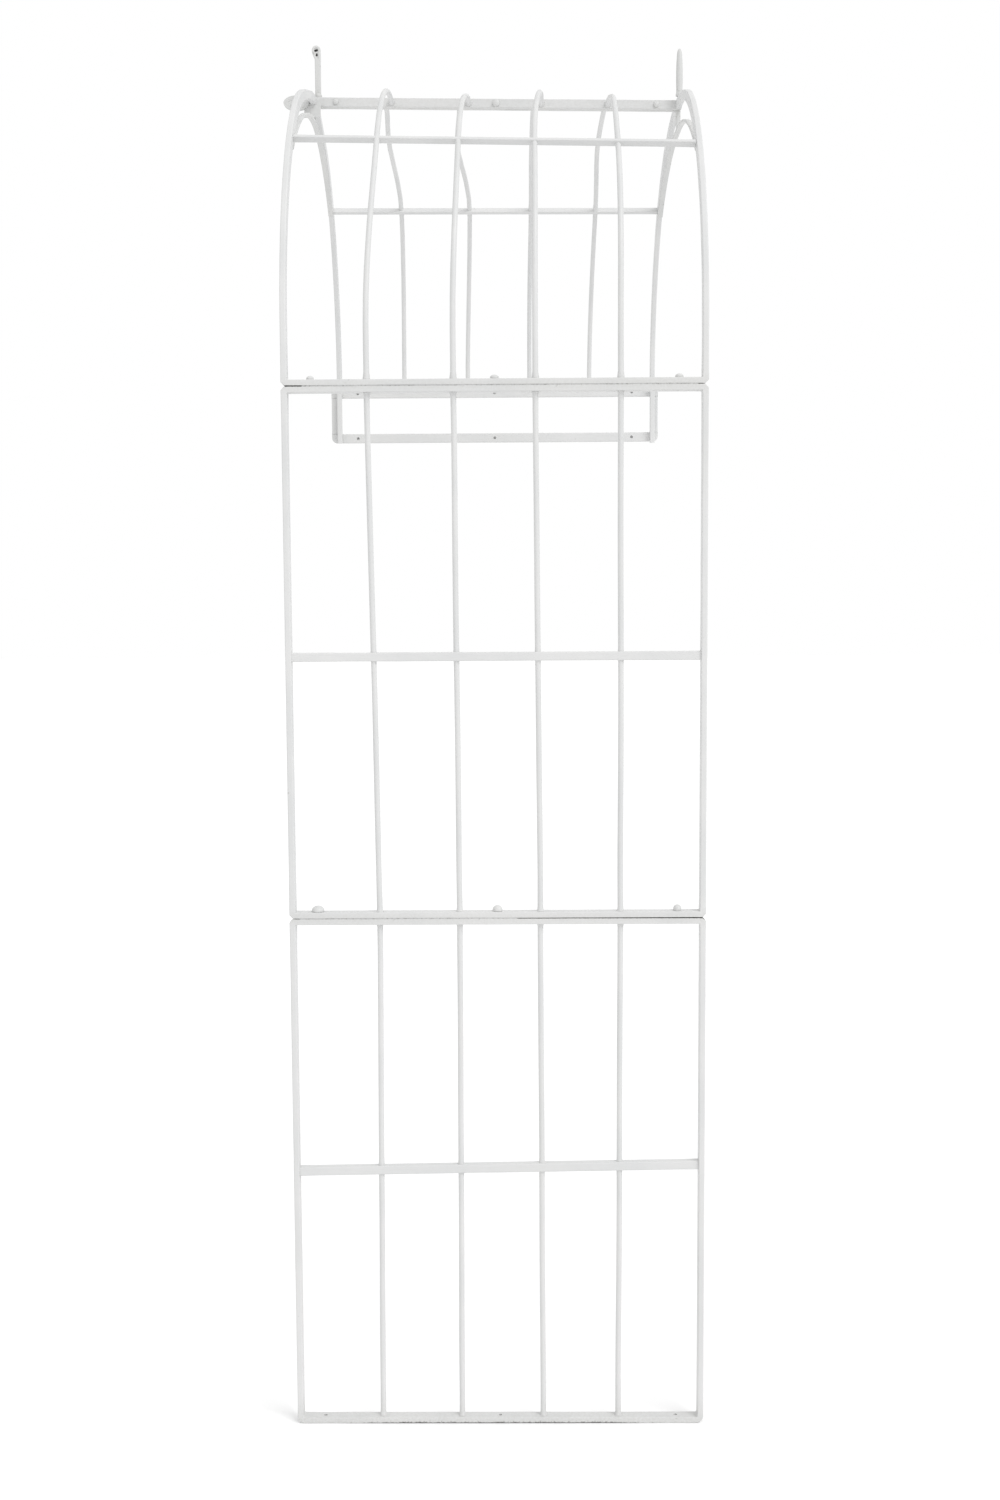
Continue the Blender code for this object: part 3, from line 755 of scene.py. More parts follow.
def sizes_now():
    """The sizes that the sidebar holds."""
    return bpy.context.scene.rose_arch_sizes


def upright_ends(node):
    """Foot and top of an upright piece, each a seam into what it is welded to."""
    return end_face(node, 2, False) - along_z * seam, end_face(node, 2, True) + along_z * seam


def bar_middle(panel):
    """Middle of a panel's cross bar."""
    node = panel + "_cross_bar"
    return (end_face(node, 0, False) + end_face(node, 0, True)) / 2


def slim_to_ridge(seed, sizes):
    """A curved rail's unevenness, and its slimmer end at the ridge."""
    forged = hand_forged(seed, sizes)
    most = 0.3
    reach = 0.26

    def change(length, whole):
        wide, thick, moved = forged(length, whole)
        slimmed = most * min(1.0, 1.6 * fall(whole - length, reach))
        return wide, thick * (1 - slimmed), moved
    return change


def rail_outline(sizes):
    """Section of the rails, with its thickness along X."""
    return rounded_bar(rail_thickness / 2, rail_depth / 2, sizes.edge_radius)


def rod_change(seed, sizes, bar_level):
    """A rod's bow, its swelling at both welds and its paint collar at the bar it passes."""
    ends = 0.05
    most_loss = 0.05
    collar_reach = 0.011
    collar_swell = 0.12
    size_waves = 24
    bow_waves = 4.3

    def change(length, whole):
        steady = min(1.0, length / ends, (whole - length) / ends)
        swell = max(fall(length, sizes.weld_length), fall(whole - length, sizes.weld_length))
        collar = fall(abs(length - bar_level), collar_reach)
        size = 1 + sizes.weld_swell * swell ** 2 + collar_swell * collar
        size -= most_loss * steady * (0.5 + 0.5 * ripple(length * size_waves, seed))
        moved = along_x * ripple(length * bow_waves, seed + 2) * sizes.rod_bow * steady
        return size, size, moved
    return change


class ROSEARCH_OT_leg_rails(bpy.types.Operator):
    """Make the four straight rails of the leg"""

    bl_idname = "rosearch.leg_rails"
    bl_label = "Leg Rails"

    def execute(self, context):
        sizes = sizes_now()
        for seed, (panel, side) in enumerate(
                (panel, side) for panel in ("lower_leg", "upper_leg")
                for side in ("left", "right")):
            node = f"{panel}_{side}_rail"
            make_bar(node, "painted_bar", finely(upright_ends(node)), along_x,
                     rail_outline(sizes), hand_forged(seed + 11, sizes))
        return {"FINISHED"}


class ROSEARCH_OT_end_strips(bpy.types.Operator):
    """Make the seven bent end strips with their bolt holes"""

    bl_idname = "rosearch.end_strips"
    bl_label = "End Strips"

    def execute(self, context):
        sizes = sizes_now()
        places = (
            ("lower_leg_foot_strip", leg_y, 0.0, along_z),
            ("lower_leg_top_strip", leg_y, lower_top, -along_z),
            ("upper_leg_base_strip", leg_y, upper_base, along_z),
            ("upper_leg_top_strip", leg_y, upper_top, -along_z),
            ("front_arch_base_strip", leg_y, arch_base, along_z),
            ("front_arch_ridge_strip", ridge_high.y, ridge_z, -along_y),
            ("back_arch_ridge_strip", back_ridge, ridge_z, along_y),
        )
        # Where paint has run into a joint, in shares of half the panel's width
        painted_over = {"lower_leg_top_strip": (-0.95, 0.10),
                        "upper_leg_top_strip": (-0.90, 0.95),
                        "front_arch_ridge_strip": (-0.94, 0.94)}
        for seed, (node, y, z, inward) in enumerate(places):
            on_ground = node == "lower_leg_foot_strip"
            on_ridge = inward.z == 0
            depth = ridge_depth if on_ridge else rail_depth
            side = along_z if on_ridge else along_y
            across = Vector((1, 0, -ridge_slope if on_ridge else 0.0))
            start = Vector((panel_x, y, z))
            radius = sizes.corner_radius if on_ground else sizes.joint_corner
            hole = sizes.foot_hole if on_ground else sizes.joint_hole
            line = strip_line(start, inward, across, radius, sizes.corner_reach)
            outline = rounded_bar(depth / 2, rail_thickness / 2, sizes.strip_edge)
            middle = start + inward * rail_thickness / 2
            holes = [(middle + across * x, inward, hole / 2, rail_thickness)
                     for x in (-bolt_x, 0, bolt_x)]
            piece = make_bar(node, "painted_bar", line, side, outline,
                             hand_forged(seed + 31, sizes), holes)
            if on_ground:
                darken(piece, holes)
            if node in painted_over:
                run = [start - inward * half_gap + across * (panel_width / 2 * share)
                       for share in painted_over[node]]
                bead = Skin()
                sweep(bead, finely(run), side,
                      rounded_bar(depth / 2 - bead_recess, half_gap, bead_edge))
                join_on(piece, bead, bead_tone)
        return {"FINISHED"}


class ROSEARCH_OT_cross_bars(bpy.types.Operator):
    """Make the four cross bars that the rods pass through"""

    bl_idname = "rosearch.cross_bars"
    bl_label = "Cross Bars"

    def execute(self, context):
        sizes = sizes_now()
        # Half sizes of each panel's bar, through the panel and along it
        halves = {"lower_leg": (0.007, 0.007), "upper_leg": (0.007, 0.007),
                  "front_arch": (0.0056, 0.0033), "back_arch": (0.0068, 0.0034)}
        let_in = seam + 0.0004
        for seed, (panel, (half_side, half_other)) in enumerate(halves.items()):
            node = panel + "_cross_bar"
            left = end_face(node, 0, False)
            right = end_face(node, 0, True)
            side = along_y
            if panel.endswith("arch"):
                middle = (left + right) / 2
                centre_y = crown_y if panel == "front_arch" else 2 * ridge_y - crown_y
                side = Vector((0, middle.y - centre_y, middle.z - crown_z)).normalized()
            run = (right - left).normalized() * let_in
            make_bar(node, "painted_bar", finely([left - run, right + run]), side,
                     rounded_bar(half_side, half_other, sizes.edge_radius * thin_edge),
                     hand_forged(seed + 51, sizes))
        return {"FINISHED"}


class ROSEARCH_OT_leg_rods(bpy.types.Operator):
    """Make the eight straight rods of the leg"""

    bl_idname = "rosearch.leg_rods"
    bl_label = "Leg Rods"

    def execute(self, context):
        sizes = sizes_now()
        for group, panel in enumerate(("lower_leg", "upper_leg")):
            bar = bar_middle(panel)
            for index in range(1, 5):
                node = f"{panel}_rod_{index}"
                foot, top = upright_ends(node)
                line = finely([foot.lerp(top, share)
                               for share in (0.0, 0.004, 0.008, 0.992, 0.996, 1.0)])
                make_bar(node, "painted_rod", line, along_x, round_stock(sizes.rod_diameter / 2),
                         rod_change(group * 5 + index + 70, sizes, bar.z - foot.z))
        return {"FINISHED"}


class ROSEARCH_OT_arch_rails(bpy.types.Operator):
    """Make the four curved rails of the crown"""

    bl_idname = "rosearch.arch_rails"
    bl_label = "Arch Rails"

    def execute(self, context):
        sizes = sizes_now()
        for seed, (panel, side) in enumerate(
                (panel, side) for panel in ("front_arch", "back_arch")
                for side in ("left", "right")):
            node = f"{panel}_{side}_rail"
            line = crown_line(node, panel == "back_arch")
            skin = Skin()
            sweep(skin, line, along_x, rail_outline(sizes), slim_to_ridge(seed + 90, sizes))
            if panel == "back_arch":
                self.tail(skin, node, line[0], sizes)
            skin.make(node, "painted_bar")
        return {"FINISHED"}

    def tail(self, skin, node, foot, sizes):
        """The halved end of a back rail, which runs down in front of the wall frame."""
        front = foot.y - rail_depth / 2
        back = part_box("wall_upper_bar")[0].y - seam
        low = Vector((foot.x, (front + back) / 2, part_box(node)[0].z))
        high = Vector((foot.x, (front + back) / 2, foot.z + sizes.edge_radius))
        outline = rounded_bar(rail_thickness / 2, (back - front) / 2, sizes.edge_radius)
        sweep(skin, finely([low, high]), along_x, outline)


class ROSEARCH_OT_arch_rods(bpy.types.Operator):
    """Make the eight curved rods of the crown"""

    bl_idname = "rosearch.arch_rods"
    bl_label = "Arch Rods"

    def execute(self, context):
        sizes = sizes_now()
        for group, panel in enumerate(("front_arch", "back_arch")):
            bar = bar_middle(panel)
            for index in range(1, 5):
                node = f"{panel}_rod_{index}"
                line = crown_line(node, panel == "back_arch")
                nearest = min(range(len(line)), key=lambda step: abs(line[step].z - bar.z))
                make_bar(node, "painted_rod", line, along_x, round_stock(sizes.rod_diameter / 2),
                         rod_change(group * 5 + index + 110, sizes, distances(line)[nearest]))
        return {"FINISHED"}


class ROSEARCH_OT_wall_frame(bpy.types.Operator):
    """Make the flat frame that the arch's back stands on"""

    bl_idname = "rosearch.wall_frame"
    bl_label = "Wall Frame"

    def execute(self, context):
        sizes = sizes_now()
        for seed, (node, round_corner) in enumerate(
                (("wall_upper_bar", 0.0), ("wall_lower_bar", 0.011))):
            self.drilled_bar(node, round_corner, seed + 130, sizes)
        for seed, node in enumerate(("wall_left_post", "wall_right_post")):
            low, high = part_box(node)
            middle = (low + high) / 2
            foot = Vector((middle.x, middle.y, low.z - seam))
            top = Vector((middle.x, middle.y, high.z + seam))
            outline = rounded_bar((high.x - low.x) / 2, (high.y - low.y) / 2, sizes.edge_radius)
            make_bar(node, "painted_bar", finely([foot, top]), along_x, outline,
                     hand_forged(seed + 140, sizes, ends=0.01))
        return {"FINISHED"}

    def drilled_bar(self, node, round_corner, seed, sizes):
        """A level bar with three screw holes, whose lower corners may be rounded."""
        ends = 0.03
        waves = 19
        most_loss = 0.6 * sizes.unevenness
        low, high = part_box(node)
        middle = (low + high) / 2
        half_height = (high.z - low.z) / 2
        half_thick = (high.y - low.y) / 2
        whole = high.x - low.x
        rises = [round_corner * (1 - math.cos(step * math.pi / 2 / bend_steps))
                 for step in range(bend_steps + 1)]
        marks = sorted({*rises, *(whole - rise for rise in rises)})
        line = finely([Vector((low.x + mark, middle.y, middle.z)) for mark in marks])
        outline = rounded_bar(half_thick, half_height, sizes.edge_radius)
        lengths = distances(line)
        rings = []
        for centre, length in zip(line, lengths):
            near = max(0.0, min(length, whole - length))
            lift = 0.0
            if near < round_corner:
                lift = round_corner - math.sqrt(round_corner ** 2 - (round_corner - near) ** 2)
            loss = most_loss * min(1.0, near / ends) * (0.5 + 0.5 * ripple(length * waves, seed))
            ring = []
            for thick, height in outline:
                share = (height + half_height) / (2 * half_height)
                height = -half_height + lift + share * (2 * half_height - lift)
                ring.append(centre + Vector((0, -thick, height)) * (1 - loss))
            rings.append(ring)
        skin = Skin()
        skin.add_rings(rings, lengths)
        holes = [(middle + along_x * x, along_y, sizes.wall_hole / 2, 2 * half_thick)
                 for x in (-bolt_x, 0, bolt_x)]
        darken(skin.make(node, "painted_bar", holes), holes)


def turn_profile(skin, place, profile, lumps=0.0, seed=0):
    """Turn a profile of radius and height; lumps make it uneven, as thick paint does."""
    waves = 1.1
    rings = []
    for radius, height in profile:
        ring = []
        for side in range(turned_sides):
            angle = 2 * math.pi * side / turned_sides
            x, y = math.cos(angle), math.sin(angle)
            lump = noise.noise(Vector((x * waves + seed, y * waves, seed)))
            out = radius * (1 + lumps * (lump - 0.5))
            ring.append(place @ Vector((out * x, out * y, height)))
        rings.append(ring)
    skin.add_rings(rings, [height for _, height in profile])


def join_on(piece, extra, strength):
    """Join more skin onto a finished piece, all of it at one strength of joint shadow."""
    shape = bmesh.new()
    shape.from_mesh(piece.data)
    mesh = extra.to_mesh("extra")
    shape.from_mesh(mesh)
    shape.to_mesh(piece.data)
    shape.free()
    bpy.data.meshes.remove(mesh)
    shadows = piece.data.attributes["joint_shadow"].data
    for index in range(len(shadows) - len(extra.points), len(shadows)):
        shadows[index].value = strength


def darken(piece, holes):
    """Close drilled holes half way down with a dark disc, which stands for the shade inside them.
    """
    floors = Skin()
    for middle, axis, radius, _ in holes:
        add_disc(floors, (middle, axis, radius, seam))
    join_on(piece, floors, hole_tone)


def smooth_profile(points):
    """More points on a profile, eased through its own points."""
    steps = 3
    fine = []
    count = len(points)
    for index in range(count - 1):
        before = points[max(0, index - 1)]
        here = points[index]
        after = points[index + 1]
        beyond = points[min(count - 1, index + 2)]
        for step in range(steps):
            t = step / steps
            fine.append(tuple(
                0.5 * (2 * here[axis] + (after[axis] - before[axis]) * t
                       + (2 * before[axis] - 5 * here[axis] + 4 * after[axis] - beyond[axis])
                       * t * t
                       + (3 * here[axis] - before[axis] - 3 * after[axis] + beyond[axis])
                       * t * t * t)
                for axis in (0, 1)))
    fine.append(points[-1])
    return fine


class ROSEARCH_OT_bolts(bpy.types.Operator):
    """Make the nine cup-head bolts, whose ends lie flush in the far strips"""

    bl_idname = "rosearch.bolts"
    bl_label = "Bolts"

    def execute(self, context):
        sizes = sizes_now()
        shank = sizes.bolt_diameter / 2
        end_face_share, worn_share, under_head_share = 0.2, 0.94, 0.96
        dome_steps = turned_sides // 3
        flat_top = 0.6
        strip_face = half_gap + rail_thickness
        seat = strip_face + seam
        forward = Matrix.Rotation(math.pi / 2, 4, "X")
        for seed, (joint, label) in enumerate(
                (joint, label) for joint in ("mid_leg", "springing", "ridge")
                for label in ("left", "centre", "right")):
            node = f"{joint}_{label}_bolt"
            low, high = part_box(node)
            middle = (low + high) / 2
            head = (high.x - low.x) / 2
            if joint == "ridge":
                top = ridge_y - low.y
                place = Matrix.Translation((middle.x, ridge_y, middle.z)) @ forward
            else:
                level = mid_leg_z if joint == "mid_leg" else springing_z
                top = high.z - level
                place = Matrix.Translation((middle.x, middle.y, level))
            skin = Skin()
            turn_profile(skin, place, [
                (shank * end_face_share, -strip_face), (shank * worn_share, -strip_face),
                (shank, -strip_face + seam), (shank, seat)])
            dome = top - seat - sizes.head_rim
            cup = [(shank, seat - seam / 2), (head * under_head_share, seat - seam / 2),
                   (head, seat + seam)]
            for step in range(dome_steps):
                angle = step * math.pi / 2 / (dome_steps - flat_top)
                cup.append((head * math.cos(angle),
                            seat + sizes.head_rim + dome * math.sin(angle)))
            turn_profile(skin, place, cup, sizes.head_lumps, seed * 3.7 + 1)
            skin.make(node, "painted_bolt")
        return {"FINISHED"}


def circle_through(first, top, last, steps):
    """Points of the circle through three points given as Y and Z."""
    a, b, c = Vector(first), Vector(top), Vector(last)
    double = 2 * (a.x * (b.y - c.y) + b.x * (c.y - a.y) + c.x * (a.y - b.y))
    aa, bb, cc = a.length_squared, b.length_squared, c.length_squared
    centre = Vector((
        (aa * (b.y - c.y) + bb * (c.y - a.y) + cc * (a.y - b.y)) / double,
        (aa * (c.x - b.x) + bb * (a.x - c.x) + cc * (b.x - a.x)) / double))
    start = math.atan2(a.y - centre.y, a.x - centre.x)
    end = math.atan2(c.y - centre.y, c.x - centre.x)
    radius = (a - centre).length
    return [(centre.x + radius * math.cos(start + (end - start) * step / steps),
             centre.y + radius * math.sin(start + (end - start) * step / steps))
            for step in range(steps + 1)]


class ROSEARCH_OT_braces(bpy.types.Operator):
    """Make the two thin arcs under the crown"""

    bl_idname = "rosearch.braces"
    bl_label = "Crown Braces"

    def execute(self, context):
        sizes = sizes_now()
        below_rail = 0.0008
        right_lower = 0.006
        lug_half_depth = 0.005
        inset = rail_depth / 2 + sizes.brace_thickness / 2 + below_rail
        angles = []
        for panel in ("front_arch", "back_arch"):
            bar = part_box(panel + "_cross_bar")
            angles.append(crown_angle((bar[0] + bar[1]) / 2, panel == "back_arch"))
        for seed, label in enumerate(("left", "right")):
            node = f"{label}_crown_brace"
            front = end_face(node, 1, False)
            back = end_face(node, 1, True)
            ends = []
            for angle in angles:
                point = crown_point(angle, -inset)
                point.z -= (front.x - panel_x) * ridge_slope * math.sin(angle)
                ends.append(point)
            last = mirror_y(ends[1])
            lower = right_lower if label == "right" else 0.0
            top = (ridge_y, ridge_level(front.x) - sizes.brace_drop - lower)
            line = []
            for y, z in circle_through((ends[0].y, ends[0].z), top, (last.y, last.z), arch_steps):
                share = max(0.0, (y - ridge_y) / (last.y - ridge_y))
                line.append(Vector((front.x + (back.x - front.x) * share, y, z)))
            skin = Skin()
            outline = rounded_bar(rail_thickness / 2, sizes.brace_thickness / 2,
                                  sizes.edge_radius * thin_edge)
            sweep(skin, line, along_x, outline, hand_forged(seed + 160, sizes))
            foot = Vector((front.x, ridge_y, top[1]))
            head = Vector((front.x, ridge_y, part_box(node)[1].z + seam))
            lug = rounded_bar(rail_thickness / 2 - 0.0008, lug_half_depth, sizes.edge_radius)
            sweep(skin, finely([foot, head], 0.004), along_x, lug)
            if label == "left":
                self.weld_plate(skin, front.x, head.z, sizes)
            skin.make(node, "painted_ornament")
        return {"FINISHED"}

    def weld_plate(self, skin, x, brace_top, sizes):
        """The small plate that ties the ridge's left corner together."""
        half_width = 0.0150
        half_thickness = 0.0016
        height = 0.025
        edge = 0.0009
        offset = Vector((-0.0015, -0.0165, -0.021))
        low = Vector((x, ridge_high.y, brace_top)) + offset
        line = finely([low, low + along_z * height], 0.004)
        sweep(skin, line, along_x, rounded_bar(half_width, half_thickness, edge),
              hand_forged(168, sizes, ends=0.006, shift=0.0008))


class ROSEARCH_OT_finials(bpy.types.Operator):
    """Make the curled finial and the spike on the ridge"""

    bl_idname = "rosearch.finials"
    bl_label = "Finials"

    def execute(self, context):
        sizes = sizes_now()
        self.spike()
        self.curled_stem(sizes)
        return {"FINISHED"}

    def spike(self):
        """A slim spike with a rounded tip, on a small foot."""
        low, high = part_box("right_finial")
        middle = Vector(((low.x + high.x) / 2, (low.y + high.y) / 2, low.z - seam))
        height = high.z - middle.z
        foot = (high.x - low.x) / 2
        profile = [(foot * 0.95, 0.0), (foot, 0.0012), (foot, 0.0034), (0.0057, 0.0062),
                   (0.0057, 0.014), (0.0060, 0.026), (0.0060, 0.040), (0.0056, 0.054),
                   (0.0049, 0.066), (0.0042, 0.0735), (0.0031, 0.0775), (0.0015, height - 0.0004),
                   (0.0003, height)]
        skin = Skin()
        turn_profile(skin, Matrix.Translation(middle), smooth_profile(profile),
                     lumps=0.06, seed=5)
        skin.make("right_finial", "painted_ornament")

    def curled_stem(self, sizes):
        """A flat stem that rises from a foot and ends in a small curl to the left."""
        low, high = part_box("left_finial")
        foot = 0.0065
        stem_half = 0.00525
        tip_half = 0.0021
        depth = (high.y - low.y) / 2
        middle = Vector((high.x - foot, (low.y + high.y) / 2, low.z - seam))
        curl = (high.x - foot + stem_half - low.x) / 2 - tip_half
        eye = Vector((middle.x + stem_half - tip_half - curl, middle.y,
                      high.z - tip_half - curl - seam))
        skin = Skin()
        stem_depth = 0.0035
        web_depth = 0.0022
        join = eye.z - 0.0150
        stem = finely([middle + along_z * 0.003, Vector((middle.x, middle.y, join))], 0.006)
        sweep(skin, stem, along_y, rounded_bar(stem_depth, stem_half, 0.0014),
              hand_forged(171, sizes, ends=0.006))
        line = [Vector((eye.x + curl, eye.y, join - 0.004))]
        for step in range(3 * bend_steps + 1):
            angle = math.pi * step / (3 * bend_steps)
            line.append(eye + Vector((curl * math.cos(angle), 0, curl * math.sin(angle))))
        line += [eye + Vector((-curl, 0, -0.003)), eye + Vector((-curl + 0.0022, 0, -0.0095)),
                 Vector((middle.x - 0.0018, middle.y, join - 0.002))]
        sweep(skin, finely(line, 0.003), along_y, rounded_bar(stem_depth, tip_half, 0.0012))
        skin.add_rings([[point + along_y * reach for point in line]
                        for reach in (web_depth, -web_depth)], (0.0, 2 * web_depth))
        # Dark discs that fill the curl's eye, painted as deep shade
        hollows = [(eye + Vector((x, 0, z)), along_y, radius, 0.0026)
                   for x, z, radius in ((-0.0014, -0.0012, 0.0019), (0.0010, -0.0006, 0.0020),
                                        (0.0012, -0.0068, 0.0013), (0.0008, -0.0090, 0.0018))]
        for hollow in hollows:
            add_disc(skin, hollow)
        collar = [(depth * 0.92, 0.0), (depth, 0.001), (depth, 0.0045), (0.0056, 0.0068),
                  (0.0040, 0.0085)]
        turn_profile(skin, Matrix.Translation(middle), smooth_profile(collar),
                     lumps=0.06, seed=9)
        skin.make("left_finial", "painted_ornament", hollows=hollows)


class ROSEARCH_OT_scroll(bpy.types.Operator):
    """Make the small scroll beside the left rail"""

    bl_idname = "rosearch.scroll"
    bl_label = "Ridge Scroll"

    def execute(self, context):
        low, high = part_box("left_ridge_scroll")
        y = (low.y + high.y) / 2
        strip = 0.0024
        hump = 0.0085 - strip / 2
        hump_rise = 0.0092
        roll_drop = 0.0055
        crest = ridge_level(high.x)
        hump_middle = Vector((high.x - strip / 2 - hump, y, crest + hump_rise))
        roll_left = low.x + 0.0004
        half_width = (high.x - roll_left) / 2 - strip / 2
        half_height = 0.0130 - strip / 2
        eye = Vector((roll_left + strip / 2 + half_width, y, crest - roll_drop))
        line = [hump_middle + Vector((hump, 0, -0.012))]
        for step in range(bend_steps + 1):
            angle = step * math.pi / bend_steps
            line.append(hump_middle + Vector((hump * math.cos(angle), 0, hump * math.sin(angle))))
        first = math.acos(max(-1.0, min(1.0, (line[-1].x - eye.x) / half_width)))
        turns = 3
        round_steps = 36
        for step in range(1, round_steps * turns + 1):
            angle = first + 2 * math.pi * step / round_steps
            wound = strip * step / round_steps
            line.append(eye + Vector(((half_width - wound) * math.cos(angle), 0,
                                      (half_height - wound) * math.sin(angle))))
        skin = Skin()
        half_depth = (high.y - low.y) / 2
        outline = rounded_bar(half_depth, strip / 2, 0.0004)
        sweep(skin, finely(line, 0.004), along_y, outline)
        inner_end = half_depth - 0.0006
        core = ((0.80, inner_end), (1.0, inner_end - 0.0004),
                (1.0, 0.0004 - inner_end), (0.80, -inner_end))
        inner = (turns - 0.7) * strip
        rings = [[eye + Vector(((half_width - inner) * reach * x, depth,
                                (half_height - inner) * reach * z))
                  for x, z in round_stock(1.0, round_steps)] for reach, depth in core]
        skin.add_rings(rings, [depth for _, depth in core])
        skin.make("left_ridge_scroll", "painted_ornament")
        return {"FINISHED"}


def white_to_the_eye(tree):
    """1 for rays that show the surroundings directly, in gloss or through glass."""
    path = add_node(tree, "ShaderNodeLightPath").outputs
    first = worked(tree, "ADD", path["Is Camera Ray"], path["Is Glossy Ray"])
    both = worked(tree, "ADD", first, path["Is Transmission Ray"])
    both.node.use_clamp = True
    return both


class ROSEARCH_OT_stage(bpy.types.Operator):
    """Make the floor, the soft light and the camera"""

    bl_idname = "rosearch.stage"
    bl_label = "Stage"

    def execute(self, context):
        stage = context.scene.rose_arch_stage
        half = 30.0
        drop = 0.0002
        floor_glow = 0.10
        mesh = bpy.data.meshes.new("floor")
        mesh.from_pydata([(-half, -half, 0), (half, -half, 0), (half, half, 0), (-half, half, 0)],
                         [], [(0, 1, 2, 3)])
        floor = bpy.data.objects.new("floor", mesh)
        context.scene.collection.objects.link(floor)
        floor.location.z = -drop
        material = bpy.data.materials.new("plain_floor")
        material.use_nodes = True
        tree = material.node_tree
        shader = tree.nodes["Principled BSDF"]
        shader.inputs["Base Color"].default_value = (*stage.floor, 1.0)
        shader.inputs["Roughness"].default_value = 0.9
        shader.inputs["Specular IOR Level"].default_value = 0.0
        glow = add_node(tree, "ShaderNodeEmission")
        glow.inputs["Color"].default_value = (1, 1, 1, 1)
        seen = worked(tree, "MULTIPLY", white_to_the_eye(tree), floor_glow)
        tree.links.new(seen, glow.inputs["Strength"])
        joined = add_node(tree, "ShaderNodeAddShader")
        tree.links.new(shader.outputs["BSDF"], joined.inputs[0])
        tree.links.new(glow.outputs["Emission"], joined.inputs[1])
        tree.links.new(joined.outputs["Shader"],
                       tree.nodes["Material Output"].inputs["Surface"])
        arrange(tree)
        mesh.materials.append(material)

        world = bpy.data.worlds.new("studio")
        context.scene.world = world
        world.use_nodes = True
        tree = world.node_tree
        soft = tree.nodes["Background"]
        soft.inputs["Color"].default_value = (1, 1, 1, 1)
        soft.inputs["Strength"].default_value = stage.soft_light
        white = add_node(tree, "ShaderNodeBackground")
        white.inputs["Color"].default_value = (1, 1, 1, 1)
        white.inputs["Strength"].default_value = 1.0
        choice = add_node(tree, "ShaderNodeMixShader")
        tree.links.new(white_to_the_eye(tree), choice.inputs[0])
        tree.links.new(soft.outputs[0], choice.inputs[1])
        tree.links.new(white.outputs[0], choice.inputs[2])
        tree.links.new(choice.outputs[0], tree.nodes["World Output"].inputs["Surface"])
        arrange(tree)

        lamp_data = bpy.data.lights.new("large_lamp", "SUN")
        lamp_data.energy = stage.lamp_light
        lamp_data.angle = stage.lamp_width
        lamp = bpy.data.objects.new("large_lamp", lamp_data)
        context.scene.collection.objects.link(lamp)
        towards = Vector((math.sin(stage.lamp_turn) * math.cos(stage.lamp_height),
                          -math.cos(stage.lamp_turn) * math.cos(stage.lamp_height),
                          math.sin(stage.lamp_height)))
        lamp.rotation_mode = "QUATERNION"
        lamp.rotation_quaternion = towards.to_track_quat("Z", "Y")
        lamp_distance = 4
        lamp.location = towards * lamp_distance

        film = 36.0
        camera_data = bpy.data.cameras.new("camera")
        camera_data.sensor_fit = "VERTICAL"
        camera_data.sensor_height = film
        camera_data.sensor_width = film
        camera_data.lens = stage.lens
        camera_data.clip_end = 200.0
        camera = bpy.data.objects.new("camera", camera_data)
        context.scene.collection.objects.link(camera)
        ahead = Vector((-math.sin(stage.yaw) * math.cos(stage.pitch),
                        math.cos(stage.yaw) * math.cos(stage.pitch), -math.sin(stage.pitch)))
        right = Vector((math.cos(stage.yaw), math.sin(stage.yaw), 0))
        above = right.cross(ahead)
        image_right = right * math.cos(stage.roll) - above * math.sin(stage.roll)
        image_up = right * math.sin(stage.roll) + above * math.cos(stage.roll)
        turn = Matrix((image_right, image_up, -ahead)).transposed()
        camera.matrix_world = Matrix.Translation(Vector(stage.eye)) @ turn.to_4x4()
        context.scene.camera = camera
        context.scene.view_settings.view_transform = "Standard"
        return {"FINISHED"}


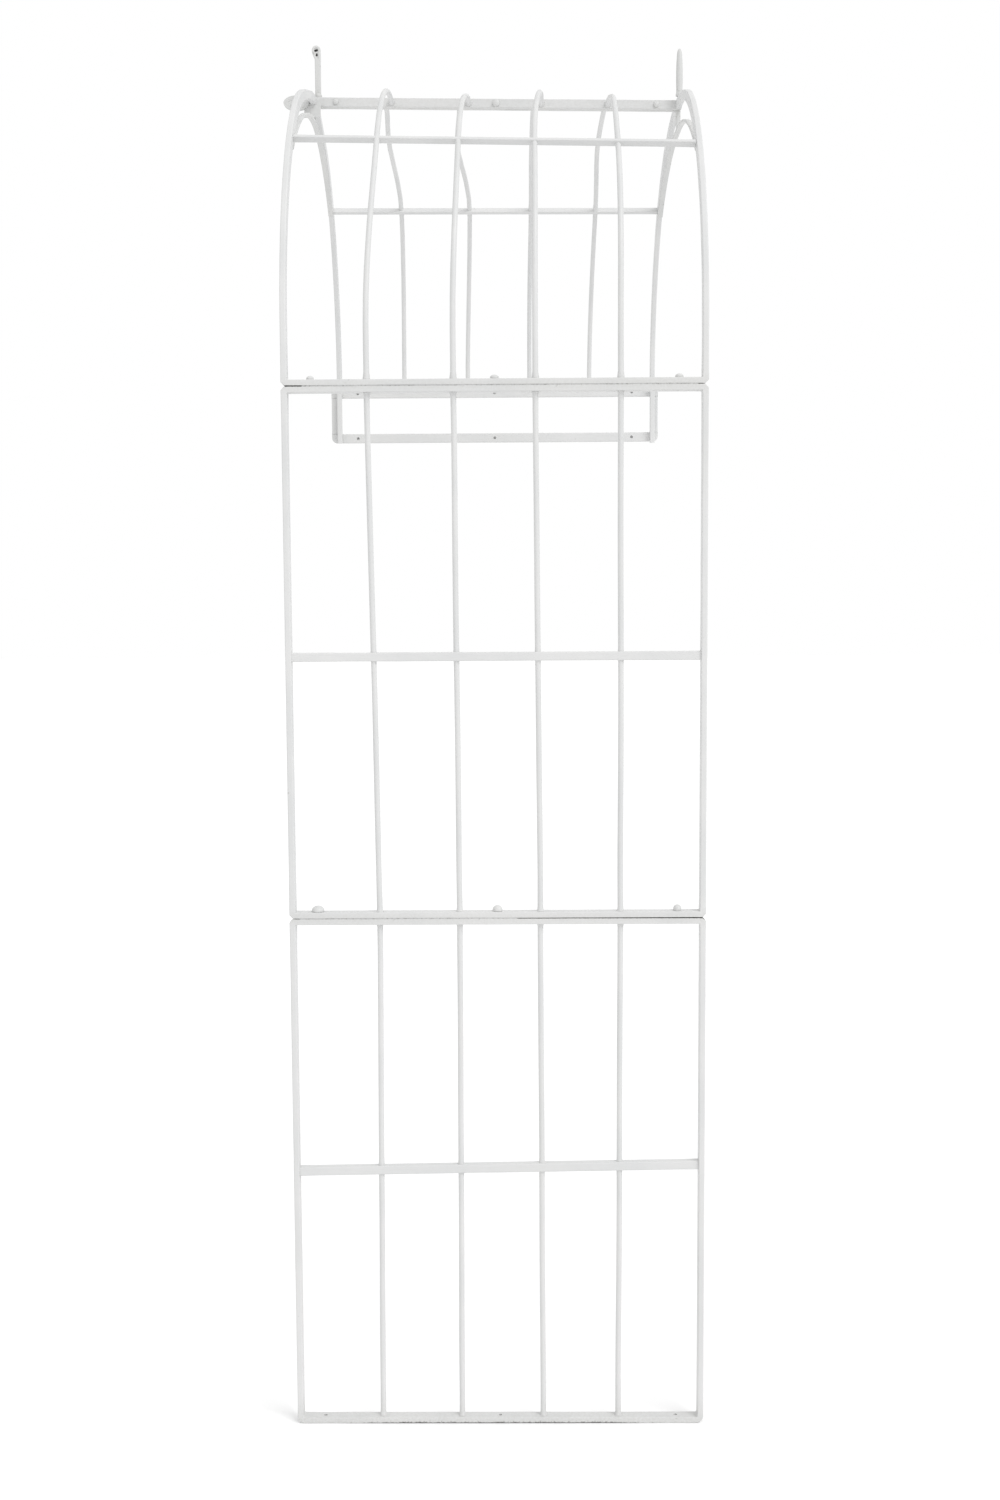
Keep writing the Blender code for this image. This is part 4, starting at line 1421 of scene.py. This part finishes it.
operators = (
    ROSEARCH_OT_leg_rails,
    ROSEARCH_OT_end_strips,
    ROSEARCH_OT_cross_bars,
    ROSEARCH_OT_leg_rods,
    ROSEARCH_OT_arch_rails,
    ROSEARCH_OT_arch_rods,
    ROSEARCH_OT_wall_frame,
    ROSEARCH_OT_bolts,
    ROSEARCH_OT_braces,
    ROSEARCH_OT_finials,
    ROSEARCH_OT_scroll,
    ROSEARCH_OT_stage,
)


class ROSEARCH_PT_sidebar(bpy.types.Panel):
    """Lists the arch's pieces, sizes and colours"""

    bl_idname = "ROSEARCH_PT_sidebar"
    bl_label = "Rose Arch"
    bl_space_type = "VIEW_3D"
    bl_region_type = "UI"
    bl_category = "Rose Arch"

    def draw(self, context):
        layout = self.layout
        for operator in operators:
            layout.operator(operator.bl_idname)
        scene = context.scene
        for group in (scene.rose_arch_sizes, scene.rose_arch_paint, scene.rose_arch_stage):
            box = layout.box()
            for name in group.bl_rna.properties.keys():
                if name not in ("rna_type", "name"):
                    box.prop(group, name)


classes = (RoseArchSizes, RoseArchPaint, RoseArchStage, *operators, ROSEARCH_PT_sidebar)


def register():
    """Add the classes and the scene's settings."""
    for made in classes:
        bpy.utils.register_class(made)
    bpy.types.Scene.rose_arch_sizes = PointerProperty(type=RoseArchSizes)
    bpy.types.Scene.rose_arch_paint = PointerProperty(type=RoseArchPaint)
    bpy.types.Scene.rose_arch_stage = PointerProperty(type=RoseArchStage)


def unregister():
    """Take the classes and the settings away again."""
    del bpy.types.Scene.rose_arch_stage
    del bpy.types.Scene.rose_arch_paint
    del bpy.types.Scene.rose_arch_sizes
    for made in reversed(classes):
        bpy.utils.unregister_class(made)


def main():
    """Dress the frame, piece by piece."""
    register()
    bpy.ops.rosearch.leg_rails()
    bpy.ops.rosearch.end_strips()
    bpy.ops.rosearch.cross_bars()
    bpy.ops.rosearch.leg_rods()
    bpy.ops.rosearch.arch_rails()
    bpy.ops.rosearch.arch_rods()
    bpy.ops.rosearch.wall_frame()
    bpy.ops.rosearch.bolts()
    bpy.ops.rosearch.braces()
    bpy.ops.rosearch.finials()
    bpy.ops.rosearch.scroll()
    bpy.ops.rosearch.stage()


if __name__ == "__main__":
    main()
